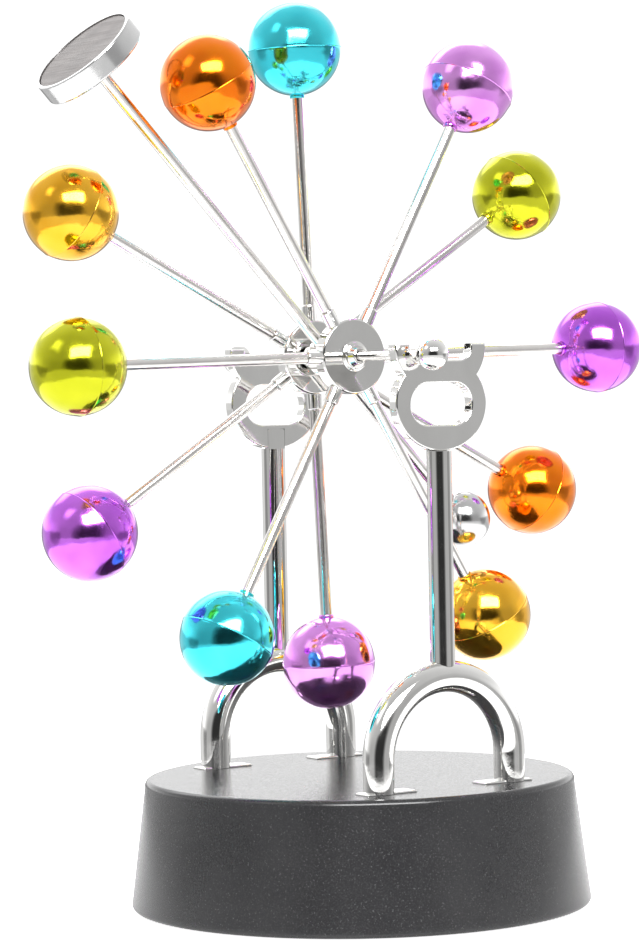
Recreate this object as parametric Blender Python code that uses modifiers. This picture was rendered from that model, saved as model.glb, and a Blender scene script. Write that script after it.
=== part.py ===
"""Electromagnetic kinetic wheel, a desk toy.

A round base holds a battery, a switch and an electromagnet.  Two chromed supports stand on it, and
the wheel's thin axle lies loose in a notch at the top of each.  The wheel has a front and a rear hub
with six rods and six hollow balls each, and a pendulum with a magnet between them.

Frame: metres, +Z up, the origin under the middle of the base.  The wheel turns in the XZ plane, its
axle lies along Y, and the front support is the one at -Y.  A wheel angle is 0 along +X and grows
towards +Z.
"""

import math

import bmesh
import bpy
from mathutils import Matrix, Vector

MM = 0.001
GAP = 0.3 * MM                    # air between pieces that touch

# ---- driving dimensions -------------------------------------------------------------------------
FOOT_STANDOFF = 0.5 * MM          # how far the rubber feet lift the base
BASE_BOTTOM_R = 60.0 * MM
BASE_TOP_R = 56.1 * MM
BASE_TOP_Z = 34.0 * MM
BASE_WALL = 2.2 * MM
BASE_TOP_WALL = 3.0 * MM
BASE_EDGE_R = 1.5 * MM
BASE_RIM_R = 1.0 * MM

SUPPORT_Y = 38.5 * MM             # the two supports stand at -Y and +Y
LEG_X = 20.2 * MM                 # half the distance between an arch's legs
ARCH_TUBE_R = 4.0 * MM
ARCH_CENTRE_Z = 41.9 * MM         # where the straight feet turn into the half circle
FLANGE = Vector((15.0, 5.6, 1.7)) * MM
FLANGE_PROUD = 0.5 * MM           # how far a flange stands out of its recess
FLANGE_SHIFT = 2.2 * MM           # a flange reaches further towards the middle than outwards
STAKE_TAB = Vector((8.0, 3.0, 0.0)) * MM
STAKE_HEAD = Vector((10.0, 4.6, 1.2)) * MM
POST_R = 3.15 * MM
PLATE_T = 3.4 * MM
PLATE_HALF_W = 13.9 * MM          # both lobes of a cradle plate are ellipses of this half width
PLATE_HALF_H = 12.1 * MM
LOBE_LOW_Z = 131.0 * MM
LOBE_HIGH_Z = 145.2 * MM
HORN_TOP_Z = 145.8 * MM
NOTCH_FLOOR_Z = 141.7 * MM
NOTCH_HALF_W = 9.4 * MM
NOTCH_CORNER_R = 3.4 * MM
HOLE_HALF_W = 9.4 * MM
HOLE_HALF_H = 5.3 * MM
HOLE_Z = 130.7 * MM
LUG_TOP_Z = 124.2 * MM            # the post ends in a flat lug let into the plate's inner face
LUG_PROUD = 0.3 * MM

AXLE_R = 1.2 * MM
AXLE_X = -6.4 * MM                # the axle lies near the left end of its notches
AXLE_Z = NOTCH_FLOOR_Z + GAP + AXLE_R
END_BALL_R = 4.0 * MM
END_BALL_Y = SUPPORT_Y + PLATE_T / 2 + 1.3 * MM + END_BALL_R
END_NECK_R = 1.9 * MM

HUB_Y = 9.0 * MM
HUB_R = 9.75 * MM
HUB_T = 4.2 * MM
STUB_R = 2.05 * MM
STUB_END = 13.7 * MM
ARM_R = 1.5 * MM
SPIGOT_R = 1.0 * MM
BALL_R = 12.1 * MM
BALL_WALL = 1.2 * MM
BALL_ORBIT = 80.4 * MM            # from the axle to the middle of a ball
HUB_ANGLE = {"front": 1.0, "rear": 32.5}
BALL_COLOURS = {
    "front": ("purple", "magenta", "orange", "lime", "cyan", "gold"),
    "rear": ("lime", "cyan", "gold", "purple", "magenta", "orange"),
}

PENDULUM_ANGLE = 133.2
PENDULUM_BOSS_R = 5.0 * MM
PENDULUM_BOSS_L = 8.0 * MM
PENDULUM_ROD_R = 1.6 * MM
MAGNET_FACE = 105.5 * MM          # from the axle to the cup's lip
CUP_R = 14.3 * MM
CUP_H = 5.5 * MM
CUP_WALL = 0.9 * MM
CUP_FLOOR = 1.5 * MM
COUNTERWEIGHT_R = 7.5 * MM
COUNTERWEIGHT_ORBIT = 60.0 * MM

COVER_T = 2.9 * MM
COVER_Z = FOOT_STANDOFF + GAP
COVER_PANEL_R = 40.0 * MM         # the cover's middle hangs lower than the ring around it
COVER_RING_Z = COVER_Z + 0.8 * MM
HEAD_SINK = 1.2 * MM
FOOT_SINK = 0.8 * MM
COVER_TOP_Z = COVER_Z + COVER_T
COVER_R = BASE_BOTTOM_R - BASE_WALL - 0.8 * MM
SCREW_ORBIT = 52.2 * MM
SCREW_ANGLES = (30.0, 150.0, 270.0)
FOOT_ORBIT = 48.0 * MM
FOOT_ANGLES = (90.0, 210.0, 330.0)
FOOT_R = 5.0 * MM
DOOR = Vector((55.2, 30.2, 2.0)) * MM
DOOR_GAP = 0.4 * MM
DOOR_MIDDLE_Y = -30.0 * MM
BATTERY = Vector((46.0, 26.0, 17.0)) * MM
BATTERY_MIDDLE = Vector((-3.0, -30.0, 0.0)) * MM
BOARD = Vector((38.0, 22.0, 1.6)) * MM
BOARD_MIDDLE = Vector((0.0, 31.0, 8.8)) * MM
SWITCH_Y = 32.0 * MM
SWITCH_TRAVEL = 3.0 * MM
COIL_TOP_Z = BASE_TOP_Z - BASE_TOP_WALL - GAP
COIL_H = 16.0 * MM
COIL_FLANGE_R = 13.0 * MM
COIL_TUBE_R = 5.5 * MM
CORE_R = 4.0 * MM

ROUND = 16                        # sides of small round pieces


# ---- scene and materials ------------------------------------------------------------------------
def clear_scene():
    for obj in list(bpy.data.objects):
        bpy.data.objects.remove(obj, do_unlink=True)


def new_collection(name):
    collection = bpy.data.collections.new(name)
    bpy.context.scene.collection.children.link(collection)
    return collection


def material(name, colour, roughness, metallic):
    mat = bpy.data.materials.new(name)
    mat.use_nodes = True
    shader = mat.node_tree.nodes["Principled BSDF"]
    shader.inputs["Base Color"].default_value = (*colour, 1.0)
    shader.inputs["Roughness"].default_value = roughness
    shader.inputs["Metallic"].default_value = metallic
    mat.diffuse_color = (*colour, 1.0)
    return mat


def add_piece(name, mesh, mat, parent=None):
    """A finished piece of the toy, at the origin of its parent."""
    obj = bpy.data.objects.new(name, mesh)
    toy.objects.link(obj)
    mesh.materials.append(mat)
    obj.parent = parent
    return obj


def add_cutter(name, mesh):
    """A helper body for a Boolean, left out of the toy."""
    obj = bpy.data.objects.new(name, mesh)
    cutters.objects.link(obj)
    obj.hide_render = True
    obj.display_type = "WIRE"
    return obj


def add_axis(name, location, parent=None):
    """An empty on a joint's axis."""
    empty = bpy.data.objects.new(name, None)
    toy.objects.link(empty)
    empty.empty_display_size = 10 * MM
    empty.location = location
    empty.parent = parent
    return empty


# ---- modelling helpers --------------------------------------------------------------------------
def mesh_from_bmesh(name, bm):
    mesh = bpy.data.meshes.new(name)
    bm.to_mesh(mesh)
    bm.free()
    return mesh


def boxes(name, middles, size):
    """Boxes of one size around the given middles, in one mesh."""
    bm = bmesh.new()
    for middle in middles:
        place = Matrix.Translation(middle) @ Matrix.Diagonal((*size, 1.0))
        bmesh.ops.create_cube(bm, size=1.0, matrix=place)
    return mesh_from_bmesh(name, bm)


def rods(name, lines, radius, sides=ROUND):
    """Capped cylinders of one radius from point to point, in one mesh."""
    bm = bmesh.new()
    for start, end in lines:
        start, end = Vector(start), Vector(end)
        turn = (end - start).to_track_quat("Z", "Y").to_matrix().to_4x4()
        place = Matrix.Translation((start + end) / 2) @ turn
        bmesh.ops.create_cone(
            bm, cap_ends=True, segments=sides, radius1=radius, radius2=radius,
            depth=(end - start).length, matrix=place,
        )
    return mesh_from_bmesh(name, bm)


def profile_mesh(name, points, closed=False):
    """A turned piece's profile of (radius, height) points in the XZ plane."""
    bm = bmesh.new()
    verts = [bm.verts.new((radius, 0.0, height)) for radius, height in points]
    for first, second in zip(verts, verts[1:]):
        bm.edges.new((first, second))
    if closed:
        bm.edges.new((verts[-1], verts[0]))
    return mesh_from_bmesh(name, bm)


def turn(obj, steps):
    """Spin a profile round its own Z axis."""
    screw = obj.modifiers.new("Turn", "SCREW")
    screw.axis = "Z"
    screw.angle = math.tau
    screw.steps = steps
    screw.render_steps = steps
    screw.use_merge_vertices = True
    screw.merge_threshold = 0.00001
    screw.use_smooth_shade = True
    return obj


def turned_piece(name, points, mat, steps=ROUND, closed=False, parent=None):
    return turn(add_piece(name, profile_mesh(name, points, closed), mat, parent), steps)


def combine(obj, other, operation):
    boolean = obj.modifiers.new(other.name, "BOOLEAN")
    boolean.operation = operation
    boolean.solver = "EXACT"
    boolean.object = other


def arc(centre_r, centre_z, radius, start, end, count):
    """Points of an arc, from start to end in degrees, counted from +X towards +Z."""
    angles = [math.radians(start + (end - start) * i / count) for i in range(count + 1)]
    return [(centre_r + radius * math.cos(a), centre_z + radius * math.sin(a)) for a in angles]


def along_radius(obj, degrees, y=0.0):
    """Point a turned piece's Z axis out from the axle at a wheel angle."""
    obj.location = (0.0, y, 0.0)
    obj.rotation_euler = (0.0, math.pi / 2 - math.radians(degrees), 0.0)


def polar(radius, degrees, z):
    angle = math.radians(degrees)
    return Vector((radius * math.cos(angle), radius * math.sin(angle), z))


# ---- base ---------------------------------------------------------------------------------------
def make_base_shell():
    """A tapered cup, open below, with a ring that centres the coil under its top."""
    inner_bottom_r = BASE_BOTTOM_R - BASE_WALL
    inner_top_r = BASE_TOP_R - BASE_WALL
    ceiling = BASE_TOP_Z - BASE_TOP_WALL
    ring_in = COIL_FLANGE_R + 0.4 * MM
    ring_out = ring_in + 1.4 * MM
    ring_z = ceiling - 6.0 * MM
    edge = arc(BASE_TOP_R - BASE_EDGE_R, BASE_TOP_Z - BASE_EDGE_R, BASE_EDGE_R, 90, 0, 2)
    rim = arc(BASE_BOTTOM_R - BASE_RIM_R, FOOT_STANDOFF + BASE_RIM_R, BASE_RIM_R, 0, -90, 2)
    inside = [
        (inner_bottom_r, FOOT_STANDOFF), (inner_top_r, ceiling), (ring_out, ceiling),
        (ring_out, ring_z), (ring_in, ring_z), (ring_in, ceiling), (0.0, ceiling),
    ]
    shell = turned_piece(
        "base_shell", [(0.0, BASE_TOP_Z), *edge, *rim, *inside], black_plastic, steps=40
    )

    boss_foot = COVER_TOP_Z + GAP
    bosses = [
        (polar(SCREW_ORBIT, a, boss_foot), polar(SCREW_ORBIT, a, ceiling + 1 * MM))
        for a in SCREW_ANGLES
    ]
    combine(shell, add_cutter("screw_bosses", rods("screw_bosses", bosses, 3.4 * MM)), "UNION")
    board_top = BOARD_MIDDLE.z + BOARD.z / 2 + GAP
    pegs = [((x, BOARD_MIDDLE.y, board_top), (x, BOARD_MIDDLE.y, ceiling + 1 * MM))
            for x in (-14 * MM, 14 * MM)]
    combine(shell, add_cutter("board_pegs", rods("board_pegs", pegs, 2.5 * MM, 12)), "UNION")

    bores = [
        (polar(SCREW_ORBIT, a, boss_foot - 1 * MM), polar(SCREW_ORBIT, a, boss_foot + 12 * MM))
        for a in SCREW_ANGLES
    ]
    combine(shell, add_cutter("boss_bores", rods("boss_bores", bores, 1.5 * MM, 12)), "DIFFERENCE")
    recess = FLANGE + Vector((2 * GAP, 2 * GAP, FLANGE.z + 2 * GAP))
    recess_z = BASE_TOP_Z + FLANGE_PROUD - FLANGE.z - GAP + recess.z / 2
    middles = [Vector((x, y, recess_z)) for x, y in flange_places()]
    combine(shell, add_cutter("flange_recesses", boxes("flange_recesses", middles, recess)),
            "DIFFERENCE")
    slot = Vector((STAKE_TAB.x + 2 * GAP, STAKE_TAB.y + 2 * GAP, 4 * BASE_TOP_WALL))
    middles = [Vector((x, y, ceiling)) for x, y in flange_places()]
    combine(shell, add_cutter("tab_slots", boxes("tab_slots", middles, slot)), "DIFFERENCE")
    return shell


def flange_places():
    """Middle (x, y) of the flange under each of the four legs."""
    offset = LEG_X - FLANGE_SHIFT
    return [(x, y) for y in (-SUPPORT_Y, SUPPORT_Y) for x in (-offset, offset)]


def make_bottom_cover():
    """A disc with the battery door's opening, a bay frame and seats for the screws and feet."""
    bay_height = 10.0 * MM
    points = [
        (0.0, COVER_TOP_Z), (COVER_R, COVER_TOP_Z), (COVER_R, COVER_RING_Z),
        (COVER_PANEL_R + 0.8 * MM, COVER_RING_Z), (COVER_PANEL_R, COVER_Z), (0.0, COVER_Z),
    ]
    cover = turned_piece("bottom_cover", points, black_plastic, steps=40)

    opening = Vector((DOOR.x + 2 * DOOR_GAP, DOOR.y + 2 * DOOR_GAP, 6 * bay_height))
    frame = Vector((opening.x + 3 * MM, opening.y + 3 * MM, bay_height))
    frame_middle = Vector((0.0, DOOR_MIDDLE_Y, COVER_TOP_Z + bay_height / 2 - 0.5 * MM))
    combine(cover, add_cutter("bay_frame", boxes("bay_frame", [frame_middle], frame)), "UNION")
    door_middle = Vector((0.0, DOOR_MIDDLE_Y, COVER_Z))
    combine(cover, add_cutter("door_opening", boxes("door_opening", [door_middle], opening)),
            "DIFFERENCE")

    top, low = COVER_TOP_Z + 1 * MM, COVER_Z - 1 * MM
    holes = [(polar(SCREW_ORBIT, a, low), polar(SCREW_ORBIT, a, top)) for a in SCREW_ANGLES]
    combine(cover, add_cutter("screw_holes", rods("screw_holes", holes, 1.5 * MM, 12)), "DIFFERENCE")
    sinks = [(polar(SCREW_ORBIT, a, low), polar(SCREW_ORBIT, a, COVER_RING_Z + HEAD_SINK))
             for a in SCREW_ANGLES]
    combine(cover, add_cutter("head_sinks", rods("head_sinks", sinks, 3.0 * MM)), "DIFFERENCE")
    seats = [(polar(FOOT_ORBIT, a, low), polar(FOOT_ORBIT, a, COVER_RING_Z + FOOT_SINK))
             for a in FOOT_ANGLES]
    combine(cover, add_cutter("foot_seats", rods("foot_seats", seats, FOOT_R + GAP, 20)),
            "DIFFERENCE")
    slot = Vector((4.0 * MM + SWITCH_TRAVEL + 4 * GAP, 3.0 * MM + 2 * GAP, 4 * COVER_T))
    slot_middle = Vector((-SWITCH_TRAVEL / 2, SWITCH_Y, COVER_Z))
    combine(cover, add_cutter("switch_slot", boxes("switch_slot", [slot_middle], slot)),
            "DIFFERENCE")
    return cover


def make_battery_door():
    """A flat lid that swings down about its inner edge, with a finger ridge near the other."""
    hinge_y = DOOR_MIDDLE_Y + DOOR.y / 2
    axis = add_axis("battery_door_axis", (0.0, hinge_y, COVER_Z))
    middle = Vector((0.0, -DOOR.y / 2, DOOR.z / 2))
    door = add_piece("battery_door", boxes("battery_door", [middle], DOOR), black_plastic, axis)
    grooves = [Vector((0.0, -DOOR.y + y, 0.0)) for y in (3 * MM, 5 * MM, 7 * MM)]
    cutter = add_cutter("grip_grooves", boxes("grip_grooves", grooves, Vector((14, 0.8, 1.0)) * MM))
    cutter.parent = axis
    combine(door, cutter, "DIFFERENCE")


def make_feet_and_screws():
    for number, angle in enumerate(FOOT_ANGLES, start=1):
        top = COVER_RING_Z + FOOT_SINK - GAP
        points = [(0.0, top), (FOOT_R, top), (FOOT_R, 0.4 * MM), (FOOT_R - 0.4 * MM, 0.0), (0.0, 0.0)]
        foot = turned_piece(f"rubber_foot_{number}", points, black_rubber, steps=20)
        foot.location = polar(FOOT_ORBIT, angle, 0.0)
    for number, angle in enumerate(SCREW_ANGLES, start=1):
        tip = COVER_TOP_Z + 10.0 * MM
        head_top = COVER_RING_Z + HEAD_SINK - GAP
        head_low = COVER_RING_Z
        points = [
            (0.0, tip), (1.2 * MM, tip - 1.5 * MM), (1.2 * MM, head_top), (2.6 * MM, head_top),
            (2.6 * MM, head_low + 0.3 * MM), (1.8 * MM, head_low), (0.0, head_low),
        ]
        screw = turned_piece(f"cover_screw_{number}", points, zinc_steel, steps=14)
        screw.location = polar(SCREW_ORBIT, angle, 0.0)
        cross = add_cutter(f"screw_drive_{number}", boxes(
            f"screw_drive_{number}", [Vector((0.0, 0.0, head_low))], Vector((3.2, 0.6, 0.9)) * MM))
        cross.parent = screw
        combine(screw, cross, "DIFFERENCE")


def make_electromagnet():
    """A coil on a bobbin with a steel core, upright under the middle of the base's top."""
    low = COIL_TOP_Z - COIL_H
    flange_t = 1.2 * MM
    bore = CORE_R + GAP
    turned_piece("coil_bobbin", [
        (bore, COIL_TOP_Z), (COIL_FLANGE_R, COIL_TOP_Z), (COIL_FLANGE_R, COIL_TOP_Z - flange_t),
        (COIL_TUBE_R, COIL_TOP_Z - flange_t), (COIL_TUBE_R, low + flange_t),
        (COIL_FLANGE_R, low + flange_t), (COIL_FLANGE_R, low), (bore, low),
    ], white_nylon, steps=24, closed=True)
    top, bottom = COIL_TOP_Z - flange_t - GAP, low + flange_t + GAP
    inner, outer = COIL_TUBE_R + GAP, COIL_FLANGE_R - 0.8 * MM
    turned_piece("coil_winding", [
        (inner, top), (outer, top), (outer, bottom), (inner, bottom),
    ], copper_wire, steps=24, closed=True)
    head = low - GAP
    turned_piece("coil_core", [
        (0.0, COIL_TOP_Z), (CORE_R, COIL_TOP_Z), (CORE_R, head), (6.5 * MM, head),
        (6.5 * MM, head - 1.8 * MM), (0.0, head - 1.8 * MM),
    ], zinc_steel, steps=24)


def make_circuit():
    """The board with its parts, and the slide switch that reaches through the cover."""
    board = add_piece("circuit_board", boxes("circuit_board", [BOARD_MIDDLE], BOARD), green_board)
    board_low = BOARD_MIDDLE.z - BOARD.z / 2
    board_top = BOARD_MIDDLE.z + BOARD.z / 2
    body_low = COVER_TOP_Z + GAP
    body = Vector((11.0 * MM, 5.4 * MM, board_low - body_low + 1.0 * MM))
    middle = Vector((-SWITCH_TRAVEL / 2, SWITCH_Y, body_low + body.z / 2))
    combine(board, add_cutter("switch_body", boxes("switch_body", [middle], body)), "UNION")
    well = Vector((3.0 * MM + SWITCH_TRAVEL + 2 * GAP, 2.0 * MM + 2 * GAP, 5.0 * MM))
    middle = Vector((-SWITCH_TRAVEL / 2, SWITCH_Y, body_low))
    combine(board, add_cutter("switch_well", boxes("switch_well", [middle], well)), "DIFFERENCE")
    can = [((8 * MM, 26 * MM, board_low), (8 * MM, 26 * MM, board_top + 9 * MM))]
    combine(board, add_cutter("capacitor", rods("capacitor", can, 2.6 * MM, 12)), "UNION")
    chips = [Vector((x * MM, 25 * MM, board_top + 1.5 * MM)) for x in (-7, 0)]
    combine(board, add_cutter("transistors", boxes("transistors", chips, Vector((4.4, 3.4, 4)) * MM)),
            "UNION")

    slider_axis = add_axis("power_switch_axis", (0.0, SWITCH_Y, COVER_Z))
    stem_top = body_low + 2.5 * MM - 2 * GAP - COVER_Z
    cap_top = COVER_T - 0.8 * MM
    stem = Vector((3.0, 2.0, 0.0)) * MM + Vector((0.0, 0.0, stem_top - cap_top + 0.5 * MM))
    cap = Vector((4.0 * MM, 3.0 * MM, cap_top))
    slider = add_piece(
        "switch_slider", boxes("switch_slider", [Vector((0.0, 0.0, cap.z / 2))], cap),
        grey_plastic, slider_axis)
    middle = Vector((0.0, 0.0, stem_top - stem.z / 2))
    cutter = add_cutter("slider_stem", boxes("slider_stem", [middle], stem))
    cutter.parent = slider_axis
    combine(slider, cutter, "UNION")


def make_battery():
    """A block battery lying above the door, and the snap cap on its two studs."""
    floor = COVER_Z + DOOR.z + GAP
    middle = Vector((BATTERY_MIDDLE.x, BATTERY_MIDDLE.y, floor + BATTERY.z / 2))
    battery = add_piece("battery", boxes("battery", [middle], BATTERY), battery_wrap)
    end_x = middle.x + BATTERY.x / 2
    studs = [((end_x - 1 * MM, middle.y + y, middle.z), (end_x + 2.4 * MM, middle.y + y, middle.z))
             for y in (-6.3 * MM, 6.3 * MM)]
    combine(battery, add_cutter("battery_studs", rods("battery_studs", studs, 2.9 * MM)), "UNION")
    snap = Vector((4.5, 25.0, 12.6)) * MM
    snap_middle = Vector((end_x + GAP + snap.x / 2, middle.y, middle.z))
    cap = add_piece("battery_snap", boxes("battery_snap", [snap_middle], snap), black_rubber)
    wells = [((end_x - 1 * MM, middle.y + y, middle.z), (end_x + 3.0 * MM, middle.y + y, middle.z))
             for y in (-6.3 * MM, 6.3 * MM)]
    combine(cap, add_cutter("snap_wells", rods("snap_wells", wells, 3.2 * MM)), "DIFFERENCE")


# ---- supports -----------------------------------------------------------------------------------
def arch_path():
    """An arch's centre line: up one foot, round the half circle and down the other."""
    foot = BASE_TOP_Z + GAP
    circle = arc(0.0, ARCH_CENTRE_Z, LEG_X, 180, 0, 18)
    return [(-LEG_X, foot), *circle, (LEG_X, foot)]


def tube_mesh(name, path, y, radius):
    """A capped tube along (x, z) points, as a closed mesh."""
    curve = bpy.data.curves.new(name, "CURVE")
    curve.dimensions = "3D"
    curve.bevel_depth = radius
    curve.bevel_resolution = 3
    curve.use_fill_caps = True
    spline = curve.splines.new("POLY")
    spline.points.add(len(path) - 1)
    for point, (x, z) in zip(spline.points, path):
        point.co = (x, y, z, 1.0)
    guide = bpy.data.objects.new(name, curve)
    cutters.objects.link(guide)
    depsgraph = bpy.context.evaluated_depsgraph_get()
    mesh = bpy.data.meshes.new_from_object(guide.evaluated_get(depsgraph))
    bpy.data.objects.remove(guide, do_unlink=True)
    bm = bmesh.new()
    bm.from_mesh(mesh)
    bmesh.ops.remove_doubles(bm, verts=bm.verts, dist=0.01 * MM)
    bmesh.ops.recalc_face_normals(bm, faces=bm.faces)
    bm.to_mesh(mesh)
    bm.free()
    return mesh


def make_arch(side, y):
    """The inverted U with a flange under each foot, staked through the base's top."""
    arch = add_piece(f"{side}_arch", tube_mesh(f"{side}_arch", arch_path(), y, ARCH_TUBE_R), chrome)
    places = [(x, place_y) for x, place_y in flange_places() if place_y == y]
    flange_z = BASE_TOP_Z + FLANGE_PROUD - FLANGE.z / 2
    middles = [Vector((x, y, flange_z)) for x, _ in places]
    combine(arch, add_cutter(f"{side}_flanges", boxes(f"{side}_flanges", middles, FLANGE)), "UNION")
    head_top = BASE_TOP_Z - BASE_TOP_WALL - GAP
    tab = Vector((STAKE_TAB.x, STAKE_TAB.y, flange_z - head_top + STAKE_HEAD.z / 2))
    middles = [Vector((x, y, flange_z - tab.z / 2)) for x, _ in places]
    combine(arch, add_cutter(f"{side}_tabs", boxes(f"{side}_tabs", middles, tab)), "UNION")
    middles = [Vector((x, y, head_top - STAKE_HEAD.z / 2)) for x, _ in places]
    combine(arch, add_cutter(f"{side}_stakes", boxes(f"{side}_stakes", middles, STAKE_HEAD)), "UNION")


def lug_profile(radius, top, low):
    """A bar with a small chamfer round its top."""
    chamfer = 0.5 * MM
    return [(0.0, top), (radius - chamfer, top), (radius, top - chamfer), (radius, low), (0.0, low)]


def make_post(side, y, inward):
    """A straight bar, saddled over the arch, with a flat lug in the cradle plate's inner face."""
    arch_top = ARCH_CENTRE_Z + LEG_X
    post = turned_piece(f"{side}_post", lug_profile(POST_R, LUG_TOP_Z, arch_top), chrome, steps=20)
    post.location = (0.0, y, 0.0)
    saddle = tube_mesh(f"{side}_saddle", arch_path(), y, ARCH_TUBE_R + GAP)
    combine(post, add_cutter(f"{side}_saddle", saddle), "DIFFERENCE")
    plate_low = LOBE_LOW_Z - PLATE_HALF_H
    step = Vector((4 * POST_R, 4 * POST_R, 2 * (LUG_TOP_Z - plate_low)))
    z = plate_low - GAP + step.z / 2
    outer = y + inward * (0.7 * MM - step.y / 2)
    inner = y + inward * (PLATE_T / 2 + LUG_PROUD + step.y / 2)
    steps = boxes(f"{side}_lug_step", [Vector((0.0, outer, z)), Vector((0.0, inner, z))], step)
    combine(post, add_cutter(f"{side}_lug_step", steps), "DIFFERENCE")


def plate_outline():
    """The two stacked lobes, the upper one cut open into horns with a flat notch between them."""
    def lobe(centre_z, start, end, count):
        unit = arc(0.0, 0.0, 1.0, start, end, count)
        return [(PLATE_HALF_W * x, centre_z + PLATE_HALF_H * z) for x, z in unit]

    waist = math.degrees(math.asin((LOBE_HIGH_Z - LOBE_LOW_Z) / 2 / PLATE_HALF_H))
    horn = math.degrees(math.asin((HORN_TOP_Z - LOBE_HIGH_Z) / PLATE_HALF_H))
    low = lobe(LOBE_LOW_Z, waist, -180 - waist, 24)
    left_horn = lobe(LOBE_HIGH_Z, -180 + waist, -180 - horn, 6)[1:]
    right_horn = lobe(LOBE_HIGH_Z, horn, -waist, 6)[:-1]
    corner_x, corner_z = NOTCH_HALF_W - NOTCH_CORNER_R, NOTCH_FLOOR_Z + NOTCH_CORNER_R
    notch = [(-NOTCH_HALF_W, HORN_TOP_Z)]
    notch += arc(-corner_x, corner_z, NOTCH_CORNER_R, 180, 270, 5)
    notch += arc(corner_x, corner_z, NOTCH_CORNER_R, 270, 360, 5)
    notch += [(NOTCH_HALF_W, HORN_TOP_Z)]
    return low + left_horn + notch + right_horn


def hole_outline():
    """The stadium hole in the lower lobe."""
    reach = HOLE_HALF_W - HOLE_HALF_H
    return (arc(reach, HOLE_Z, HOLE_HALF_H, -90, 90, 8)
            + arc(-reach, HOLE_Z, HOLE_HALF_H, 90, 270, 8))


def make_cradle_plate(side, y, inward):
    """The flat figure-eight plate whose notch carries the axle."""
    name = f"{side}_cradle_plate"
    curve = bpy.data.curves.new(name, "CURVE")
    curve.dimensions = "2D"
    curve.fill_mode = "BOTH"
    curve.extrude = PLATE_T / 2
    for outline in (plate_outline(), hole_outline()):
        spline = curve.splines.new("POLY")
        spline.points.add(len(outline) - 1)
        spline.use_cyclic_u = True
        for point, (x, z) in zip(spline.points, outline):
            point.co = (x, z, 0.0, 1.0)
    guide = bpy.data.objects.new(name, curve)
    cutters.objects.link(guide)
    guide.rotation_euler = (math.pi / 2, 0.0, 0.0)
    guide.location = (0.0, y, 0.0)
    bpy.context.view_layer.update()
    depsgraph = bpy.context.evaluated_depsgraph_get()
    mesh = bpy.data.meshes.new_from_object(guide.evaluated_get(depsgraph))
    place = guide.matrix_world.copy()
    bpy.data.objects.remove(guide, do_unlink=True)
    bm = bmesh.new()
    bm.from_mesh(mesh)
    bmesh.ops.remove_doubles(bm, verts=bm.verts, dist=0.01 * MM)
    bmesh.ops.dissolve_limit(bm, angle_limit=math.radians(1), verts=bm.verts, edges=bm.edges)
    bmesh.ops.recalc_face_normals(bm, faces=bm.faces)
    bm.to_mesh(mesh)
    bm.free()
    mesh.materials.clear()
    plate = add_piece(name, mesh, chrome)
    plate.matrix_world = place

    groove = add_cutter(f"{side}_lug_groove", profile_mesh(
        f"{side}_lug_groove", lug_profile(POST_R + GAP, LUG_TOP_Z + GAP, LUG_TOP_Z - 12 * MM)))
    turn(groove, 20)
    groove.location = (0.0, y, 0.0)
    half = Vector((6 * POST_R, 4 * POST_R, 30 * MM))
    middle = Vector((0.0, y + inward * (0.4 * MM - half.y / 2), LUG_TOP_Z))
    keep_outer = add_cutter(f"{side}_outer_half", boxes(f"{side}_outer_half", [middle], half))
    combine(groove, keep_outer, "DIFFERENCE")
    combine(plate, groove, "DIFFERENCE")


# ---- wheel --------------------------------------------------------------------------------------
def make_axle(roll_axis, spin_axis):
    """The thin shaft, and a ball with a short neck on each end of it."""
    end = END_BALL_Y + 1.2 * MM
    shaft = turned_piece("axle_shaft", [
        (0.0, end), (AXLE_R - 0.3 * MM, end), (AXLE_R, end - 0.3 * MM),
        (AXLE_R, -end + 0.3 * MM), (AXLE_R - 0.3 * MM, -end), (0.0, -end),
    ], bright_steel, steps=16, parent=spin_axis)
    shaft.rotation_euler = (math.pi / 2, 0.0, 0.0)
    bore = AXLE_R + GAP
    neck_top = END_BALL_R + 0.8 * MM
    neck_angle = math.degrees(math.acos(END_NECK_R / END_BALL_R))
    ball = arc(0.0, 0.0, END_BALL_R, neck_angle, -90, 7)
    profile = [
        (0.0, -1.6 * MM), (bore, -1.6 * MM), (bore, neck_top), (END_NECK_R, neck_top), *ball,
    ]
    for side, sign in (("front", -1), ("rear", 1)):
        knob = turned_piece(f"{side}_axle_ball", profile, chrome, steps=14, parent=roll_axis)
        knob.location = (0.0, sign * END_BALL_Y, 0.0)
        knob.rotation_euler = (sign * math.pi / 2, 0.0, 0.0)


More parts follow.
